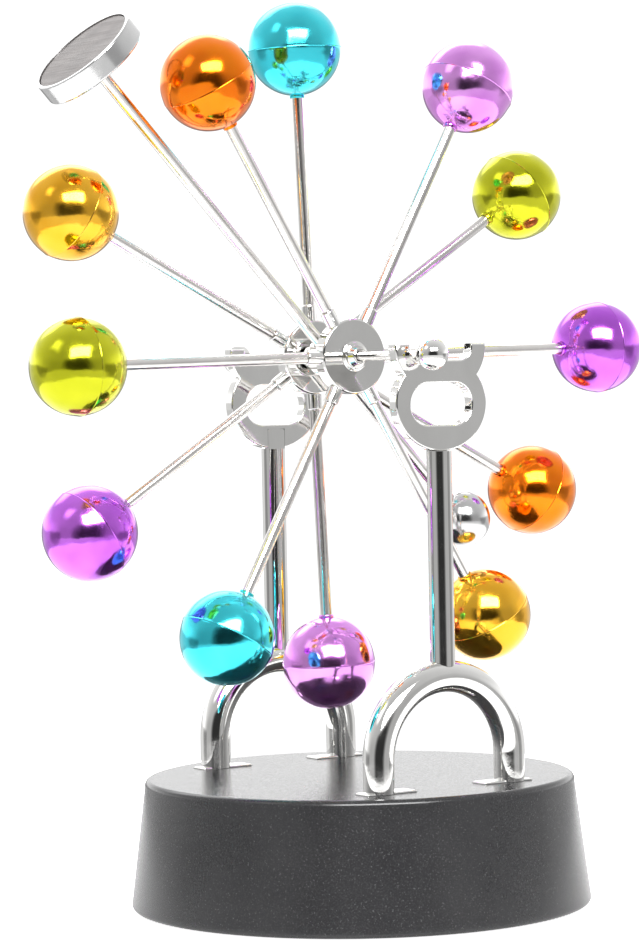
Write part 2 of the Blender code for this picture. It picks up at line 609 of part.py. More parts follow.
def make_hub(side, y, outward, spin_axis):
    """A thick disc with a stepped boss on its outer face and a socket stub for each rod."""
    half, bore, chamfer = HUB_T / 2, AXLE_R + GAP, 0.3 * MM
    hub = turned_piece(f"{side}_hub", [
        (bore, half + 2.6 * MM), (2.1 * MM, half + 2.6 * MM), (2.9 * MM, half + 1.0 * MM),
        (3.6 * MM, half + 0.9 * MM), (3.6 * MM, half), (HUB_R - chamfer, half),
        (HUB_R, half - chamfer), (HUB_R, -half + chamfer), (HUB_R - chamfer, -half),
        (3.2 * MM, -half), (3.2 * MM, -half - 1.6 * MM), (bore, -half - 1.6 * MM),
    ], chrome, steps=24, closed=True, parent=spin_axis)
    hub.location = (0.0, y, 0.0)
    hub.rotation_euler = (-outward * math.pi / 2, 0.0, 0.0)
    angles = [math.radians(HUB_ANGLE[side] + 60 * k) for k in range(6)]
    ways = [Vector((math.cos(a), 0.0, math.sin(a))) for a in angles]
    middle = Vector((0.0, y, 0.0))
    stubs = [(middle + way * (HUB_R - 1.5 * MM), middle + way * STUB_END) for way in ways]
    stub = add_cutter(f"{side}_stubs", rods(f"{side}_stubs", stubs, STUB_R, 10))
    stub.parent = spin_axis
    combine(hub, stub, "UNION")
    bores = [(middle + way * 6.5 * MM, middle + way * (STUB_END + 1 * MM)) for way in ways]
    drill = add_cutter(f"{side}_sockets", rods(f"{side}_sockets", bores, SPIGOT_R + GAP, 8))
    drill.parent = spin_axis
    combine(hub, drill, "DIFFERENCE")


def make_arm_and_ball(side, y, degrees, colour, spin_axis):
    """A rod with a spigot in the hub, and a hollow ball with a collar on its outer end."""
    near = BALL_ORBIT - BALL_R
    tip = near + 4.0 * MM
    shoulder = STUB_END + GAP
    arm = turned_piece(f"{side}_arm_{colour}", [
        (0.0, tip), (ARM_R, tip), (ARM_R, shoulder), (SPIGOT_R, shoulder),
        (SPIGOT_R, 7.0 * MM), (0.0, 7.0 * MM),
    ], bright_steel, steps=10, parent=spin_axis)
    along_radius(arm, degrees, y)

    bore, collar, inner = ARM_R + GAP, ARM_R + 1.1 * MM, BALL_R - BALL_WALL
    collar_angle = -math.degrees(math.acos(collar / BALL_R))
    bore_angle = -math.degrees(math.acos(bore / inner))
    profile = arc(0.0, BALL_ORBIT, BALL_R, 90, collar_angle, 8)
    profile += [(collar, near - 1.2 * MM), (bore, near - 1.2 * MM)]
    profile += arc(0.0, BALL_ORBIT, inner, bore_angle, 90, 3)
    ball = turned_piece(f"{side}_ball_{colour}", profile, ball_finish[colour], steps=14,
                        parent=spin_axis)
    along_radius(ball, degrees, y)


def make_pendulum(spin_axis):
    """A boss on the axle with a long rod to the magnet and a short one to the silver ball."""
    half, bore = PENDULUM_BOSS_L / 2, AXLE_R + GAP
    boss = turned_piece("pendulum_boss", [
        (bore, half), (PENDULUM_BOSS_R - 0.5 * MM, half), (PENDULUM_BOSS_R, half - 0.5 * MM),
        (PENDULUM_BOSS_R, -half + 0.5 * MM), (PENDULUM_BOSS_R - 0.5 * MM, -half), (bore, -half),
    ], chrome, steps=20, closed=True, parent=spin_axis)
    boss.rotation_euler = (math.pi / 2, 0.0, 0.0)
    angle = math.radians(PENDULUM_ANGLE)
    way = Vector((math.cos(angle), 0.0, math.sin(angle)))
    inner_end, outer_end = 2.1 * MM, PENDULUM_BOSS_R + 1 * MM
    sockets = [(way * sign * inner_end, way * sign * outer_end) for sign in (1, -1)]
    drill = add_cutter("pendulum_sockets", rods("pendulum_sockets", sockets, SPIGOT_R + GAP, 10))
    drill.parent = spin_axis
    combine(boss, drill, "DIFFERENCE")

    cup_back = MAGNET_FACE - CUP_H
    shoulder, root = PENDULUM_BOSS_R + GAP, 2.4 * MM
    rod = turned_piece("pendulum_rod", [
        (0.0, cup_back + CUP_FLOOR - GAP), (SPIGOT_R, cup_back + CUP_FLOOR - GAP),
        (SPIGOT_R, cup_back - GAP), (PENDULUM_ROD_R, cup_back - GAP), (PENDULUM_ROD_R, shoulder),
        (SPIGOT_R, shoulder), (SPIGOT_R, root), (0.0, root),
    ], bright_steel, steps=12, parent=spin_axis)
    along_radius(rod, PENDULUM_ANGLE)

    hole = SPIGOT_R + GAP
    cup = turned_piece("magnet_cup", [
        (CUP_R - CUP_WALL, MAGNET_FACE), (CUP_R - 0.3 * MM, MAGNET_FACE),
        (CUP_R, MAGNET_FACE - 0.3 * MM), (CUP_R, cup_back + 0.6 * MM), (CUP_R - 0.6 * MM, cup_back),
        (hole, cup_back), (hole, cup_back + CUP_FLOOR), (CUP_R - CUP_WALL, cup_back + CUP_FLOOR),
    ], silver_plate, steps=24, closed=True, parent=spin_axis)
    along_radius(cup, PENDULUM_ANGLE)
    disc_r, disc_low = CUP_R - CUP_WALL - GAP, cup_back + CUP_FLOOR + GAP
    disc_top = MAGNET_FACE - 0.3 * MM
    disc = turned_piece("magnet_disc", [
        (0.0, disc_top), (disc_r, disc_top), (disc_r, disc_low), (0.0, disc_low),
    ], magnet_grey, steps=24, parent=spin_axis)
    along_radius(disc, PENDULUM_ANGLE)

    near = COUNTERWEIGHT_ORBIT - COUNTERWEIGHT_R
    short = turned_piece("counterweight_rod", [
        (0.0, near + 5.0 * MM), (PENDULUM_ROD_R, near + 5.0 * MM), (PENDULUM_ROD_R, shoulder),
        (SPIGOT_R, shoulder), (SPIGOT_R, root), (0.0, root),
    ], bright_steel, steps=12, parent=spin_axis)
    along_radius(short, PENDULUM_ANGLE + 180)
    socket = PENDULUM_ROD_R + GAP
    start = -math.degrees(math.acos(socket / COUNTERWEIGHT_R))
    profile = arc(0.0, COUNTERWEIGHT_ORBIT, COUNTERWEIGHT_R, 90, start, 7)
    profile += [(socket, near + 5.4 * MM), (0.0, near + 5.4 * MM)]
    weight = turned_piece("counterweight_ball", profile, silver_plate, steps=14, parent=spin_axis)
    along_radius(weight, PENDULUM_ANGLE + 180)


# ---- assembly -----------------------------------------------------------------------------------
clear_scene()
toy = new_collection("kinetic_wheel")
cutters = new_collection("cutters")

black_plastic = material("black_plastic", (0.035, 0.035, 0.036), 0.55, 0.0)
black_rubber = material("black_rubber", (0.02, 0.02, 0.02), 0.85, 0.0)
grey_plastic = material("grey_plastic", (0.30, 0.30, 0.31), 0.5, 0.0)
white_nylon = material("white_nylon", (0.82, 0.81, 0.77), 0.5, 0.0)
green_board = material("green_board", (0.03, 0.20, 0.08), 0.45, 0.0)
battery_wrap = material("battery_wrap", (0.12, 0.13, 0.16), 0.4, 0.3)
copper_wire = material("copper_wire", (0.72, 0.30, 0.13), 0.35, 1.0)
zinc_steel = material("zinc_steel", (0.60, 0.60, 0.60), 0.35, 1.0)
chrome = material("chrome", (0.78, 0.78, 0.77), 0.06, 1.0)
bright_steel = material("bright_steel", (0.72, 0.71, 0.70), 0.16, 1.0)
silver_plate = material("silver_plate", (0.70, 0.70, 0.70), 0.2, 1.0)
magnet_grey = material("magnet_grey", (0.17, 0.155, 0.15), 0.45, 0.4)
ball_finish = {
    "purple": material("ball_purple", (0.38, 0.06, 0.62), 0.1, 1.0),
    "magenta": material("ball_magenta", (0.68, 0.16, 0.80), 0.1, 1.0),
    "orange": material("ball_orange", (1.0, 0.18, 0.01), 0.1, 1.0),
    "lime": material("ball_lime", (0.52, 0.58, 0.02), 0.1, 1.0),
    "cyan": material("ball_cyan", (0.01, 0.58, 0.68), 0.1, 1.0),
    "gold": material("ball_gold", (0.86, 0.46, 0.05), 0.1, 1.0),
}

make_base_shell()
make_bottom_cover()
make_battery_door()
make_feet_and_screws()
make_electromagnet()
make_circuit()
make_battery()

for support, support_y, facing_in in (("front", -SUPPORT_Y, 1), ("rear", SUPPORT_Y, -1)):
    make_arch(support, support_y)
    make_post(support, support_y, facing_in)
    make_cradle_plate(support, support_y, facing_in)

roll = add_axis("axle_roll_axis", (AXLE_X, 0.0, AXLE_Z))
spin = add_axis("wheel_spin_axis", (0.0, 0.0, 0.0), roll)
make_axle(roll, spin)
for hub_side, hub_y, facing_out in (("front", -HUB_Y, -1), ("rear", HUB_Y, 1)):
    make_hub(hub_side, hub_y, facing_out, spin)
    for index, ball_colour in enumerate(BALL_COLOURS[hub_side]):
        arm_angle = HUB_ANGLE[hub_side] + 60 * index
        make_arm_and_ball(hub_side, hub_y, arm_angle, ball_colour, spin)
make_pendulum(spin)
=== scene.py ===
"""Looks of the kinetic wheel: smooth plated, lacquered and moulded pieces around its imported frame."""
import math

import bmesh
import bpy
from mathutils import Matrix, Vector


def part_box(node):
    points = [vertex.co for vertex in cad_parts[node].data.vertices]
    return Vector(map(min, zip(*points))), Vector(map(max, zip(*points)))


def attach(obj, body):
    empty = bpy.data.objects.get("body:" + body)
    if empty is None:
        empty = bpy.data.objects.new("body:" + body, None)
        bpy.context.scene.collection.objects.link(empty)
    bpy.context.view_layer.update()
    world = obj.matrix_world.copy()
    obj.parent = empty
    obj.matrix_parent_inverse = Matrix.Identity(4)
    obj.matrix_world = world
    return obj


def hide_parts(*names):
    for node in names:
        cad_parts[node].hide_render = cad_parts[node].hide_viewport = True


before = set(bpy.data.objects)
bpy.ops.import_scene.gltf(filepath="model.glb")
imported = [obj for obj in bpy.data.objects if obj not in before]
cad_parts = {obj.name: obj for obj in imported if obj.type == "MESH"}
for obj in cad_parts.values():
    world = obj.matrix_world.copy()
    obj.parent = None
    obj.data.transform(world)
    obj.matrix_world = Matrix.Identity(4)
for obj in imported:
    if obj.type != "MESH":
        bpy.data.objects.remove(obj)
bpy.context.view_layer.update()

MM = 0.001
SIDES = 96                        # facets round a turned piece
BASE_SIDES = 192                  # facets round the base and its cover
ROD_SIDES = 40                    # facets round a rod
FINE = 4                          # facets round a softened edge
HOLD = 0.12 * MM                  # a line beside each softened edge keeps the long faces even
MERGE = 0.002 * MM                # points closer than this are one point
SOFT = 0.3 * MM                   # the usual roundness of a moulded or turned edge
CRISP = 0.2 * MM                  # the roundness of a rod's end and other small edges
SHARP_ANGLE = 32.0                # degrees; edges steeper than this stay sharp

# ---- places read from the frame -------------------------------------------------------------------
axle_low, axle_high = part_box("axle_shaft")
AXLE = (axle_low + axle_high) / 2
AXLE_R = (axle_high.z - axle_low.z) / 2
SHAFT_END = axle_high.y
base_low, base_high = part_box("base_shell")
BASE_TOP_Z = base_high.z
plate_low, plate_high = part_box("front_cradle_plate")
SUPPORT_Y = -(plate_low.y + plate_high.y) / 2
PLATE_T = plate_high.y - plate_low.y
PLATE_BOTTOM_Z = plate_low.z
HORN_TOP_Z = plate_high.z
knob_low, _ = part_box("front_axle_ball")
END_BALL_R = 4.0 * MM
END_BALL_Y = -knob_low.y - END_BALL_R

# ---- sizes ----------------------------------------------------------------------------------------
BASE_BOTTOM_R = 60.0 * MM
BASE_TOP_R = 56.1 * MM
BASE_WALL = 2.2 * MM
BASE_TOP_WALL = 3.0 * MM
BASE_EDGE_R = 1.5 * MM
BASE_RIM_R = 1.0 * MM
BASE_DRAFT = 3.7                  # degrees that the side leans inwards
LEG_X = 20.2 * MM
ARCH_TUBE_R = 4.0 * MM
ARCH_CENTRE_Z = 41.9 * MM
FLANGE = Vector((15.0, 5.6, 1.7)) * MM
FLANGE_PROUD = 0.5 * MM
FLANGE_SHIFT = 2.2 * MM           # how far each flange's middle lies inside its leg's
FLANGE_POCKET_GAP = 0.25 * MM
POST_R = 3.15 * MM
PLATE_HALF_W = 13.9 * MM
PLATE_HALF_H = 12.1 * MM
LOBE_LOW_Z = 131.0 * MM
LOBE_HIGH_Z = 145.2 * MM
NOTCH_FLOOR_Z = 141.7 * MM
NOTCH_HALF_W = 9.4 * MM
NOTCH_CORNER_R = 3.4 * MM
HOLE_HALF_W = 9.4 * MM
HOLE_HALF_H = 5.3 * MM
HOLE_Z = 130.7 * MM
LUG_TOP_Z = 124.2 * MM
LUG_PROUD = 0.3 * MM
LUG_STEP = 0.7 * MM               # the lug's back, inwards from the plate's middle
GROOVE_STEP = 0.6 * MM            # the floor of the groove that the lug lies in
GROOVE_L = 12.0 * MM
HUB_Y = 9.0 * MM
HUB_R = 9.75 * MM
HUB_T = 4.2 * MM
HUB_RIM = 0.4 * MM
STUB_R = 2.05 * MM
STUB_END = 13.7 * MM
STUB_ROOT = 1.5 * MM              # how deep a rod's socket starts inside the disc
ARM_R = 1.5 * MM
BALL_R = 12.1 * MM
BALL_WALL = 1.2 * MM
BALL_ORBIT = 80.4 * MM
BALL_COLLAR_R = 1.95 * MM
BALL_COLLAR_H = 0.6 * MM
SEAM_LIP = 0.008                  # how much of its radius a half shell stands up at the seam
SEAM_SPREAD = 5.0                 # degrees over which it does
SEAM_FLASH = 1.013
SEAM_STEP = 0.03 * MM             # the lower half sits this much inside the upper one
ROD_BITE = 4.0 * MM               # how far a rod reaches into its ball
SLIP = 0.05 * MM                  # the fit between a rod and what it meets
NECK_GAP = 0.08 * MM              # the fit between a rod and the neck round it
BORE_GAP = 0.1 * MM               # the fit between the axle and what turns with it
HUB_ANGLE = {"front": 1.0, "rear": 32.5}
BALL_COLOURS = {
    "front": ("purple", "magenta", "orange", "lime", "cyan", "gold"),
    "rear": ("lime", "cyan", "gold", "purple", "magenta", "orange"),
}
PENDULUM_ANGLE = 133.2
BOSS_R = 5.0 * MM
BOSS_L = 8.0 * MM
PENDULUM_ROD_R = 1.6 * MM
MAGNET_FACE = 105.5 * MM
CUP_R = 14.3 * MM
CUP_H = 5.5 * MM
CUP_WALL = 0.9 * MM
CUP_FLOOR = 1.5 * MM
COUNTERWEIGHT_R = 7.5 * MM
COUNTERWEIGHT_ORBIT = 60.0 * MM
COUNTERWEIGHT_NECK_R = 2.3 * MM
MAGNET_SINK = 0.3 * MM            # the magnet's face below the cup's lip, and its gap to the floor
COVER_T = 2.9 * MM
COVER_STEP = 0.8 * MM             # the cover's middle panel hangs this much lower than its ring
COVER_PANEL_R = 40.0 * MM
COVER_EDGE = 0.25 * MM
BAY_WALL = 1.5 * MM
BAY_OVERLAP = 0.5 * MM            # how far the bay's wall sinks into the cover
DOOR_GAP = 0.4 * MM
HEAD_SINK = 1.2 * MM
HEAD_GAP = 0.35 * MM
THREAD_R = 1.2 * MM
THREAD_HOLE_R = 1.5 * MM
CROSS_ARMS = (Vector((3.0, 0.6, 1.1)) * MM, Vector((0.6, 3.0, 1.1)) * MM)
FOOT_SINK = 0.8 * MM
FOOT_GAP = 0.25 * MM
FOOT_DISH = 0.35 * MM             # depth of the hollow in a foot's tread
GRIP_GROOVE = Vector((16.0, 0.7, 0.9)) * MM
GRIP_START = 2.4 * MM
GRIP_PITCH = 1.5 * MM
SWITCH_TRAVEL = 3.0 * MM
SLOT_END_GAP = 0.5 * MM
SLOT_SIDE_GAP = 0.3 * MM
STEM = Vector((3.0, 2.0, 0.0)) * MM
STEM_OVERLAP = 0.5 * MM
STUD_L = 2.4 * MM
STUD_R = 2.9 * MM
STUD_TOP_R = 2.6 * MM
STUD_OFFSET = 6.3 * MM
JACKET_EDGE = 1.3 * MM


# ---- node helpers ---------------------------------------------------------------------------------
def new_finish(name, metallic=0.0, coat=0.0, coat_roughness=0.03, specular=0.5):
    """A material with an even Principled shader; returns the material, its tree and the shader."""
    mat = bpy.data.materials.new(f"{name}_finish")
    mat.use_nodes = True
    shader = mat.node_tree.nodes["Principled BSDF"]
    shader.inputs["Metallic"].default_value = metallic
    shader.inputs["Coat Weight"].default_value = coat
    shader.inputs["Coat Roughness"].default_value = coat_roughness
    shader.inputs["Specular IOR Level"].default_value = specular
    return mat, mat.node_tree, shader


def object_noise(tree, size, detail=2.0, stretch=(1.0, 1.0, 1.0), attribute=None):
    """Noise with lumps about this size in metres, in object space or along a turned piece."""
    if attribute:
        source = tree.nodes.new("ShaderNodeAttribute")
        source.attribute_name = attribute
        vector = source.outputs["Vector"]
    else:
        vector = tree.nodes.new("ShaderNodeTexCoord").outputs["Object"]
    mapping = tree.nodes.new("ShaderNodeMapping")
    mapping.inputs["Scale"].default_value = stretch
    tree.links.new(vector, mapping.inputs["Vector"])
    noise = tree.nodes.new("ShaderNodeTexNoise")
    noise.inputs["Scale"].default_value = 1.0 / size
    noise.inputs["Detail"].default_value = detail
    tree.links.new(mapping.outputs["Vector"], noise.inputs["Vector"])
    return noise.outputs["Fac"]


def map_range(tree, value, start, end, low, high, interpolation="LINEAR"):
    """A value's run from start to end, turned into one from low to high."""
    node = tree.nodes.new("ShaderNodeMapRange")
    node.interpolation_type = interpolation
    for key, number in zip(("From Min", "From Max", "To Min", "To Max"), (start, end, low, high)):
        node.inputs[key].default_value = number
    tree.links.new(value, node.inputs["Value"])
    return node.outputs["Result"]


def spread(tree, value, low, high, start=0.3, end=0.7):
    """A pattern's middle range stretched to run from low to high."""
    return map_range(tree, value, start, end, low, high)


def two_tone(tree, value, first, second):
    """A colour that runs from first to second."""
    node = tree.nodes.new("ShaderNodeMix")
    node.data_type = "RGBA"
    node.inputs["A"].default_value = (*first, 1.0)
    node.inputs["B"].default_value = (*second, 1.0)
    tree.links.new(value, node.inputs["Factor"])
    return node.outputs["Result"]


def add_bump(tree, shader, layers):
    """Bumps on a shader from (height, depth in metres) layers, the coarsest first."""
    normal = None
    for height, depth in layers:
        node = tree.nodes.new("ShaderNodeBump")
        node.inputs["Distance"].default_value = depth
        tree.links.new(height, node.inputs["Height"])
        if normal:
            tree.links.new(normal, node.inputs["Normal"])
        normal = node.outputs["Normal"]
    tree.links.new(normal, shader.inputs["Normal"])


# ---- finishes -------------------------------------------------------------------------------------
def plated(name, light, dark, smooth, rough, wave):
    """Bright plate: faint wipe marks in its gloss and a slow wave in its surface."""
    mat, tree, shader = new_finish(name, metallic=1.0)
    smear = object_noise(tree, 9 * MM, 4.0, (1.0, 1.0, 0.5))
    tree.links.new(two_tone(tree, spread(tree, smear, 0, 1), light, dark),
                   shader.inputs["Base Color"])
    wipe = object_noise(tree, 3 * MM, 5.0, (0.35, 1.0, 1.0))
    tree.links.new(spread(tree, wipe, smooth, rough), shader.inputs["Roughness"])
    add_bump(tree, shader, [
        (object_noise(tree, 7 * MM, 1.0), wave),
        (object_noise(tree, 0.8 * MM, 2.0), 0.002 * MM),
    ])
    return mat


def drawn_rod(name, light, dark):
    """Drawn and plated rod: fine lines along it."""
    mat, tree, shader = new_finish(name, metallic=1.0)
    lines = object_noise(tree, 0.35 * MM, 3.0, (1.0, 1.0, 0.02), "along")
    stain = object_noise(tree, 6 * MM, 3.0, attribute="along")
    tree.links.new(two_tone(tree, spread(tree, stain, 0, 1), light, dark),
                   shader.inputs["Base Color"])
    tree.links.new(spread(tree, lines, 0.10, 0.24), shader.inputs["Roughness"])
    add_bump(tree, shader, [(stain, 0.02 * MM), (lines, 0.004 * MM)])
    return mat


def ball_lacquer(name, bright, deep):
    """A metallised moulded shell under tinted clear lacquer."""
    mat, tree, shader = new_finish(name, metallic=1.0, coat=0.12, coat_roughness=0.02)
    tint = object_noise(tree, 11 * MM, 2.0)
    tree.links.new(two_tone(tree, spread(tree, tint, 0, 1), bright, deep),
                   shader.inputs["Base Color"])
    haze = object_noise(tree, 4 * MM, 4.0)
    tree.links.new(spread(tree, haze, 0.08, 0.18), shader.inputs["Roughness"])
    add_bump(tree, shader, [
        (object_noise(tree, 8 * MM, 1.0), 0.45 * MM),
        (object_noise(tree, 2.5 * MM, 2.0), 0.03 * MM),
        (object_noise(tree, 0.9 * MM, 2.0), 0.003 * MM),
    ])
    return mat


def spark_plastic(name, light, dark, smooth, rough, grain, depth, specular=0.5):
    """Moulded plastic from a spark-eroded mould: a fine pitted grain with its own cloudy tone, and
    painted glints: its colour is paler on the grain's high spots.
    """
    mat, tree, shader = new_finish(name, specular=specular)
    cloud = object_noise(tree, 14 * MM, 3.0)
    pits = object_noise(tree, grain, 3.0)
    shade = tree.nodes.new("ShaderNodeMath")
    shade.operation = "ADD"
    tree.links.new(spread(tree, cloud, 0.0, 0.3), shade.inputs[0])
    # painted glints: the grain's high spots are coloured paler, standing for light caught on them
    tree.links.new(spread(tree, pits, 0.0, 0.7, 0.45, 0.72), shade.inputs[1])
    tree.links.new(two_tone(tree, shade.outputs["Value"], dark, light), shader.inputs["Base Color"])
    tree.links.new(spread(tree, pits, smooth, rough), shader.inputs["Roughness"])
    add_bump(tree, shader, [(object_noise(tree, 6 * grain, 2.0), 0.6 * depth), (pits, depth)])
    return mat


def ferrite(name):
    """The magnet's bare grey face, with fine grinding lines and a few lighter specks."""
    mat, tree, shader = new_finish(name, metallic=0.35)
    lines = object_noise(tree, 0.5 * MM, 3.0, (1.0, 0.04, 1.0), "along")
    cloud = object_noise(tree, 7 * MM, 3.0, attribute="along")
    shade = two_tone(tree, spread(tree, cloud, 0, 1), (0.13, 0.115, 0.11), (0.09, 0.08, 0.078))
    tree.links.new(shade, shader.inputs["Base Color"])
    tree.links.new(spread(tree, lines, 0.34, 0.46), shader.inputs["Roughness"])
    add_bump(tree, shader, [(lines, 0.003 * MM)])
    return mat


def copper_winding(name):
    """Enamelled wire wound close: ridges round the coil, read from its height, with painted shade: the
    colour is darker in the grooves between the turns.
    """
    mat, tree, shader = new_finish(name, metallic=1.0, coat=0.6, coat_roughness=0.15)
    place = tree.nodes.new("ShaderNodeTexCoord")
    wave = tree.nodes.new("ShaderNodeTexWave")
    wave.bands_direction = "Z"
    wave.inputs["Scale"].default_value = 1.0 / (1.2 * MM)
    wave.inputs["Distortion"].default_value = 0.4
    tree.links.new(place.outputs["Object"], wave.inputs["Vector"])
    # painted shade: the colour follows the ridges, darker in the grooves between turns and paler on the
    # crests
    tree.links.new(two_tone(tree, wave.outputs["Fac"], (0.45, 0.16, 0.06), (0.78, 0.34, 0.15)),
                   shader.inputs["Base Color"])
    shader.inputs["Roughness"].default_value = 0.3
    add_bump(tree, shader, [(wave.outputs["Fac"], 0.15 * MM)])
    return mat


chrome = plated("chrome", (0.83, 0.825, 0.81), (0.76, 0.755, 0.74), 0.03, 0.09, 0.02 * MM)
silver_plate = plated("silver_plate", (0.67, 0.67, 0.67), (0.58, 0.58, 0.58), 0.10, 0.2, 0.03 * MM)
zinc_steel = plated("zinc_steel", (0.62, 0.62, 0.60), (0.50, 0.50, 0.49), 0.25, 0.42, 0.01 * MM)
bright_steel = drawn_rod("bright_steel", (0.82, 0.80, 0.78), (0.70, 0.68, 0.66))
magnet_grey = ferrite("magnet_grey")
copper_wire = copper_winding("copper_wire")
black_plastic = spark_plastic("black_plastic", (0.027, 0.027, 0.028), (0.012, 0.012, 0.013),
                              0.18, 0.28, 0.45 * MM, 0.003 * MM, specular=0.45)
black_rubber = spark_plastic("black_rubber", (0.022, 0.022, 0.022), (0.014, 0.014, 0.014),
                             0.7, 0.9, 0.5 * MM, 0.03 * MM)
grey_plastic = spark_plastic("grey_plastic", (0.32, 0.32, 0.33), (0.26, 0.26, 0.27),
                             0.4, 0.55, 0.4 * MM, 0.02 * MM)
white_nylon = spark_plastic("white_nylon", (0.84, 0.83, 0.79), (0.76, 0.75, 0.70),
                            0.4, 0.5, 0.6 * MM, 0.01 * MM)
green_board = spark_plastic("green_board", (0.04, 0.24, 0.10), (0.02, 0.15, 0.06),
                            0.3, 0.45, 1.2 * MM, 0.01 * MM)
battery_wrap = spark_plastic("battery_wrap", (0.14, 0.15, 0.18), (0.09, 0.10, 0.13),
                             0.3, 0.45, 1.0 * MM, 0.004 * MM)
ball_finish = {
    "purple": ball_lacquer("ball_purple", (0.64, 0.18, 0.88), (0.49, 0.11, 0.74)),
    "magenta": ball_lacquer("ball_magenta", (0.84, 0.38, 0.92), (0.67, 0.24, 0.77)),
    "orange": ball_lacquer("ball_orange", (1.0, 0.26, 0.01), (0.95, 0.17, 0.005)),
    "lime": ball_lacquer("ball_lime", (0.66, 0.67, 0.03), (0.50, 0.52, 0.015)),
    "cyan": ball_lacquer("ball_cyan", (0.08, 0.78, 0.88), (0.05, 0.62, 0.74)),
    "gold": ball_lacquer("ball_gold", (0.96, 0.54, 0.05), (0.86, 0.42, 0.02)),
}


# ---- modelling helpers ----------------------------------------------------------------------------
def arc(centre_r, centre_z, radius, start, end, count):
    """Points of an arc, from start to end in degrees, counted from +X towards +Z."""
    angles = [math.radians(start + (end - start) * i / count) for i in range(count + 1)]
    return [(centre_r + radius * math.cos(a), centre_z + radius * math.sin(a)) for a in angles]


def softened(points, radius, closed=False):
    """An outline of (radius, height) points with small arcs for corners, a line held beside each."""
    count = len(points)
    out = [] if closed else [points[0]]
    for i in range(count) if closed else range(1, count - 1):
        before, corner, after = (Vector(points[k % count]) for k in (i - 1, i, i + 1))
        back, on = before - corner, after - corner
        opening = back.angle(on)
        if opening > math.radians(150):
            out.append(tuple(corner))
            continue
        reach = min(radius / math.tan(opening / 2), 0.42 * back.length, 0.42 * on.length)
        start, end = corner + back.normalized() * reach, corner + on.normalized() * reach
        middle = corner + (back.normalized() + on.normalized()).normalized() * (
            reach / math.cos(opening / 2))
        swing = math.pi - opening
        first, last = start - middle, end - middle
        steps = [
            middle + (math.sin((1 - t) * swing) * first + math.sin(t * swing) * last)
            / math.sin(swing) for t in (k / FINE for k in range(FINE + 1))
        ]
        if back.length > 2.5 * (reach + HOLD):
            out.append(tuple(start + back.normalized() * HOLD))
        out += [tuple(step) for step in steps]
        if on.length > 2.5 * (reach + HOLD):
            out.append(tuple(end + on.normalized() * HOLD))
    return out if closed else [*out, points[-1]]


def spin_profile(points, closed=False, sides=SIDES):
    """A bmesh turned round Z from (radius, height) points."""
    bm = bmesh.new()
    verts = [bm.verts.new((max(radius, 0.0), 0.0, height)) for radius, height in points]
    pairs = list(zip(verts, verts[1:]))
    if closed:
        pairs.append((verts[-1], verts[0]))
    edges = [bm.edges.new(pair) for pair in pairs]
    bmesh.ops.spin(bm, geom=verts + edges, cent=(0, 0, 0), axis=(0, 0, 1), angle=math.tau,
                   steps=sides, use_merge=True)
    bmesh.ops.remove_doubles(bm, verts=bm.verts, dist=MERGE)
    bmesh.ops.recalc_face_normals(bm, faces=bm.faces)
    return bm


def keep_along(bm):
    """Keeps each point's place in the piece's own turning frame, for its finish."""
    layer = bm.verts.layers.float_vector.new("along")
    for vert in bm.verts:
        vert[layer] = vert.co.copy()


def block_bmesh(middles, size, edge=0.0, upright=False):
    """Boxes of one size with softened edges; upright ones have round corners in plan first."""
    bm = bmesh.new()
    for middle in middles:
        made = bmesh.ops.create_cube(
            bm, size=1.0, matrix=Matrix.Translation(middle) @ Matrix.Diagonal((*size, 1.0)))
        if edge:
            faces = {face for vert in made["verts"] for face in vert.link_faces}
            edges = {line for face in faces for line in face.edges}
            if upright:
                edges = {line for line in edges
                         if abs(line.verts[0].co.z - line.verts[1].co.z) > 0.5 * size[2]}
            bmesh.ops.bevel(bm, geom=list(edges), offset=edge, offset_type="OFFSET", affect="EDGES",
                            segments=FINE, profile=0.5, material=-1)
    return bm


def loose_object(name, bm):
    mesh = bpy.data.meshes.new(name)
    bm.to_mesh(mesh)
    bm.free()
    obj = bpy.data.objects.new(name, mesh)
    bpy.context.scene.collection.objects.link(obj)
    return obj


def combined(bm, steps):
    """The bmesh after joining or cutting it with others, each step (operation, other bmesh)."""
    obj = loose_object("work", bm)
    tools = []
    for operation, other in steps:
        tool = loose_object("tool", other)
        tools.append(tool)
        boolean = obj.modifiers.new("Boolean", "BOOLEAN")
        boolean.operation = operation
        boolean.solver = "EXACT"
        boolean.object = tool
    bpy.context.view_layer.update()
    shaped = obj.evaluated_get(bpy.context.evaluated_depsgraph_get())
    result = bpy.data.meshes.new_from_object(shaped)
    for other in [obj, *tools]:
        bpy.data.objects.remove(other, do_unlink=True)
    out = bmesh.new()
    out.from_mesh(result)
    bpy.data.meshes.remove(result)
    bmesh.ops.remove_doubles(out, verts=out.verts, dist=MERGE)
    return out


def add_piece(name, bm, finish, body, node, even=False):
    """A finished piece on its body, in place of the CAD node it stands for."""
    obj = loose_object(name, bm)
    obj.data.materials.clear()
    obj.data.materials.append(finish)
    obj.data.shade_smooth()
    obj.data.set_sharp_from_angle(angle=math.radians(SHARP_ANGLE))
    if even:
        flat = obj.modifiers.new("Even faces", "WEIGHTED_NORMAL")
        flat.weight = 100
        flat.keep_sharp = True
    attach(obj, body)
    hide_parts(node)
    return obj


def radial(degrees, y=0.0):
    """Stands a turned piece's Z axis out from the axle at a wheel angle."""
    turn = Matrix.Rotation(math.pi / 2 - math.radians(degrees), 4, "Y")
    return Matrix.Translation((AXLE.x, y, AXLE.z)) @ turn


def endways(y, outward):
    """Lays a turned piece's Z axis along the axle, outward."""
    turn = Matrix.Rotation(-outward * math.pi / 2, 4, "X")
    return Matrix.Translation((AXLE.x, y, AXLE.z)) @ turn


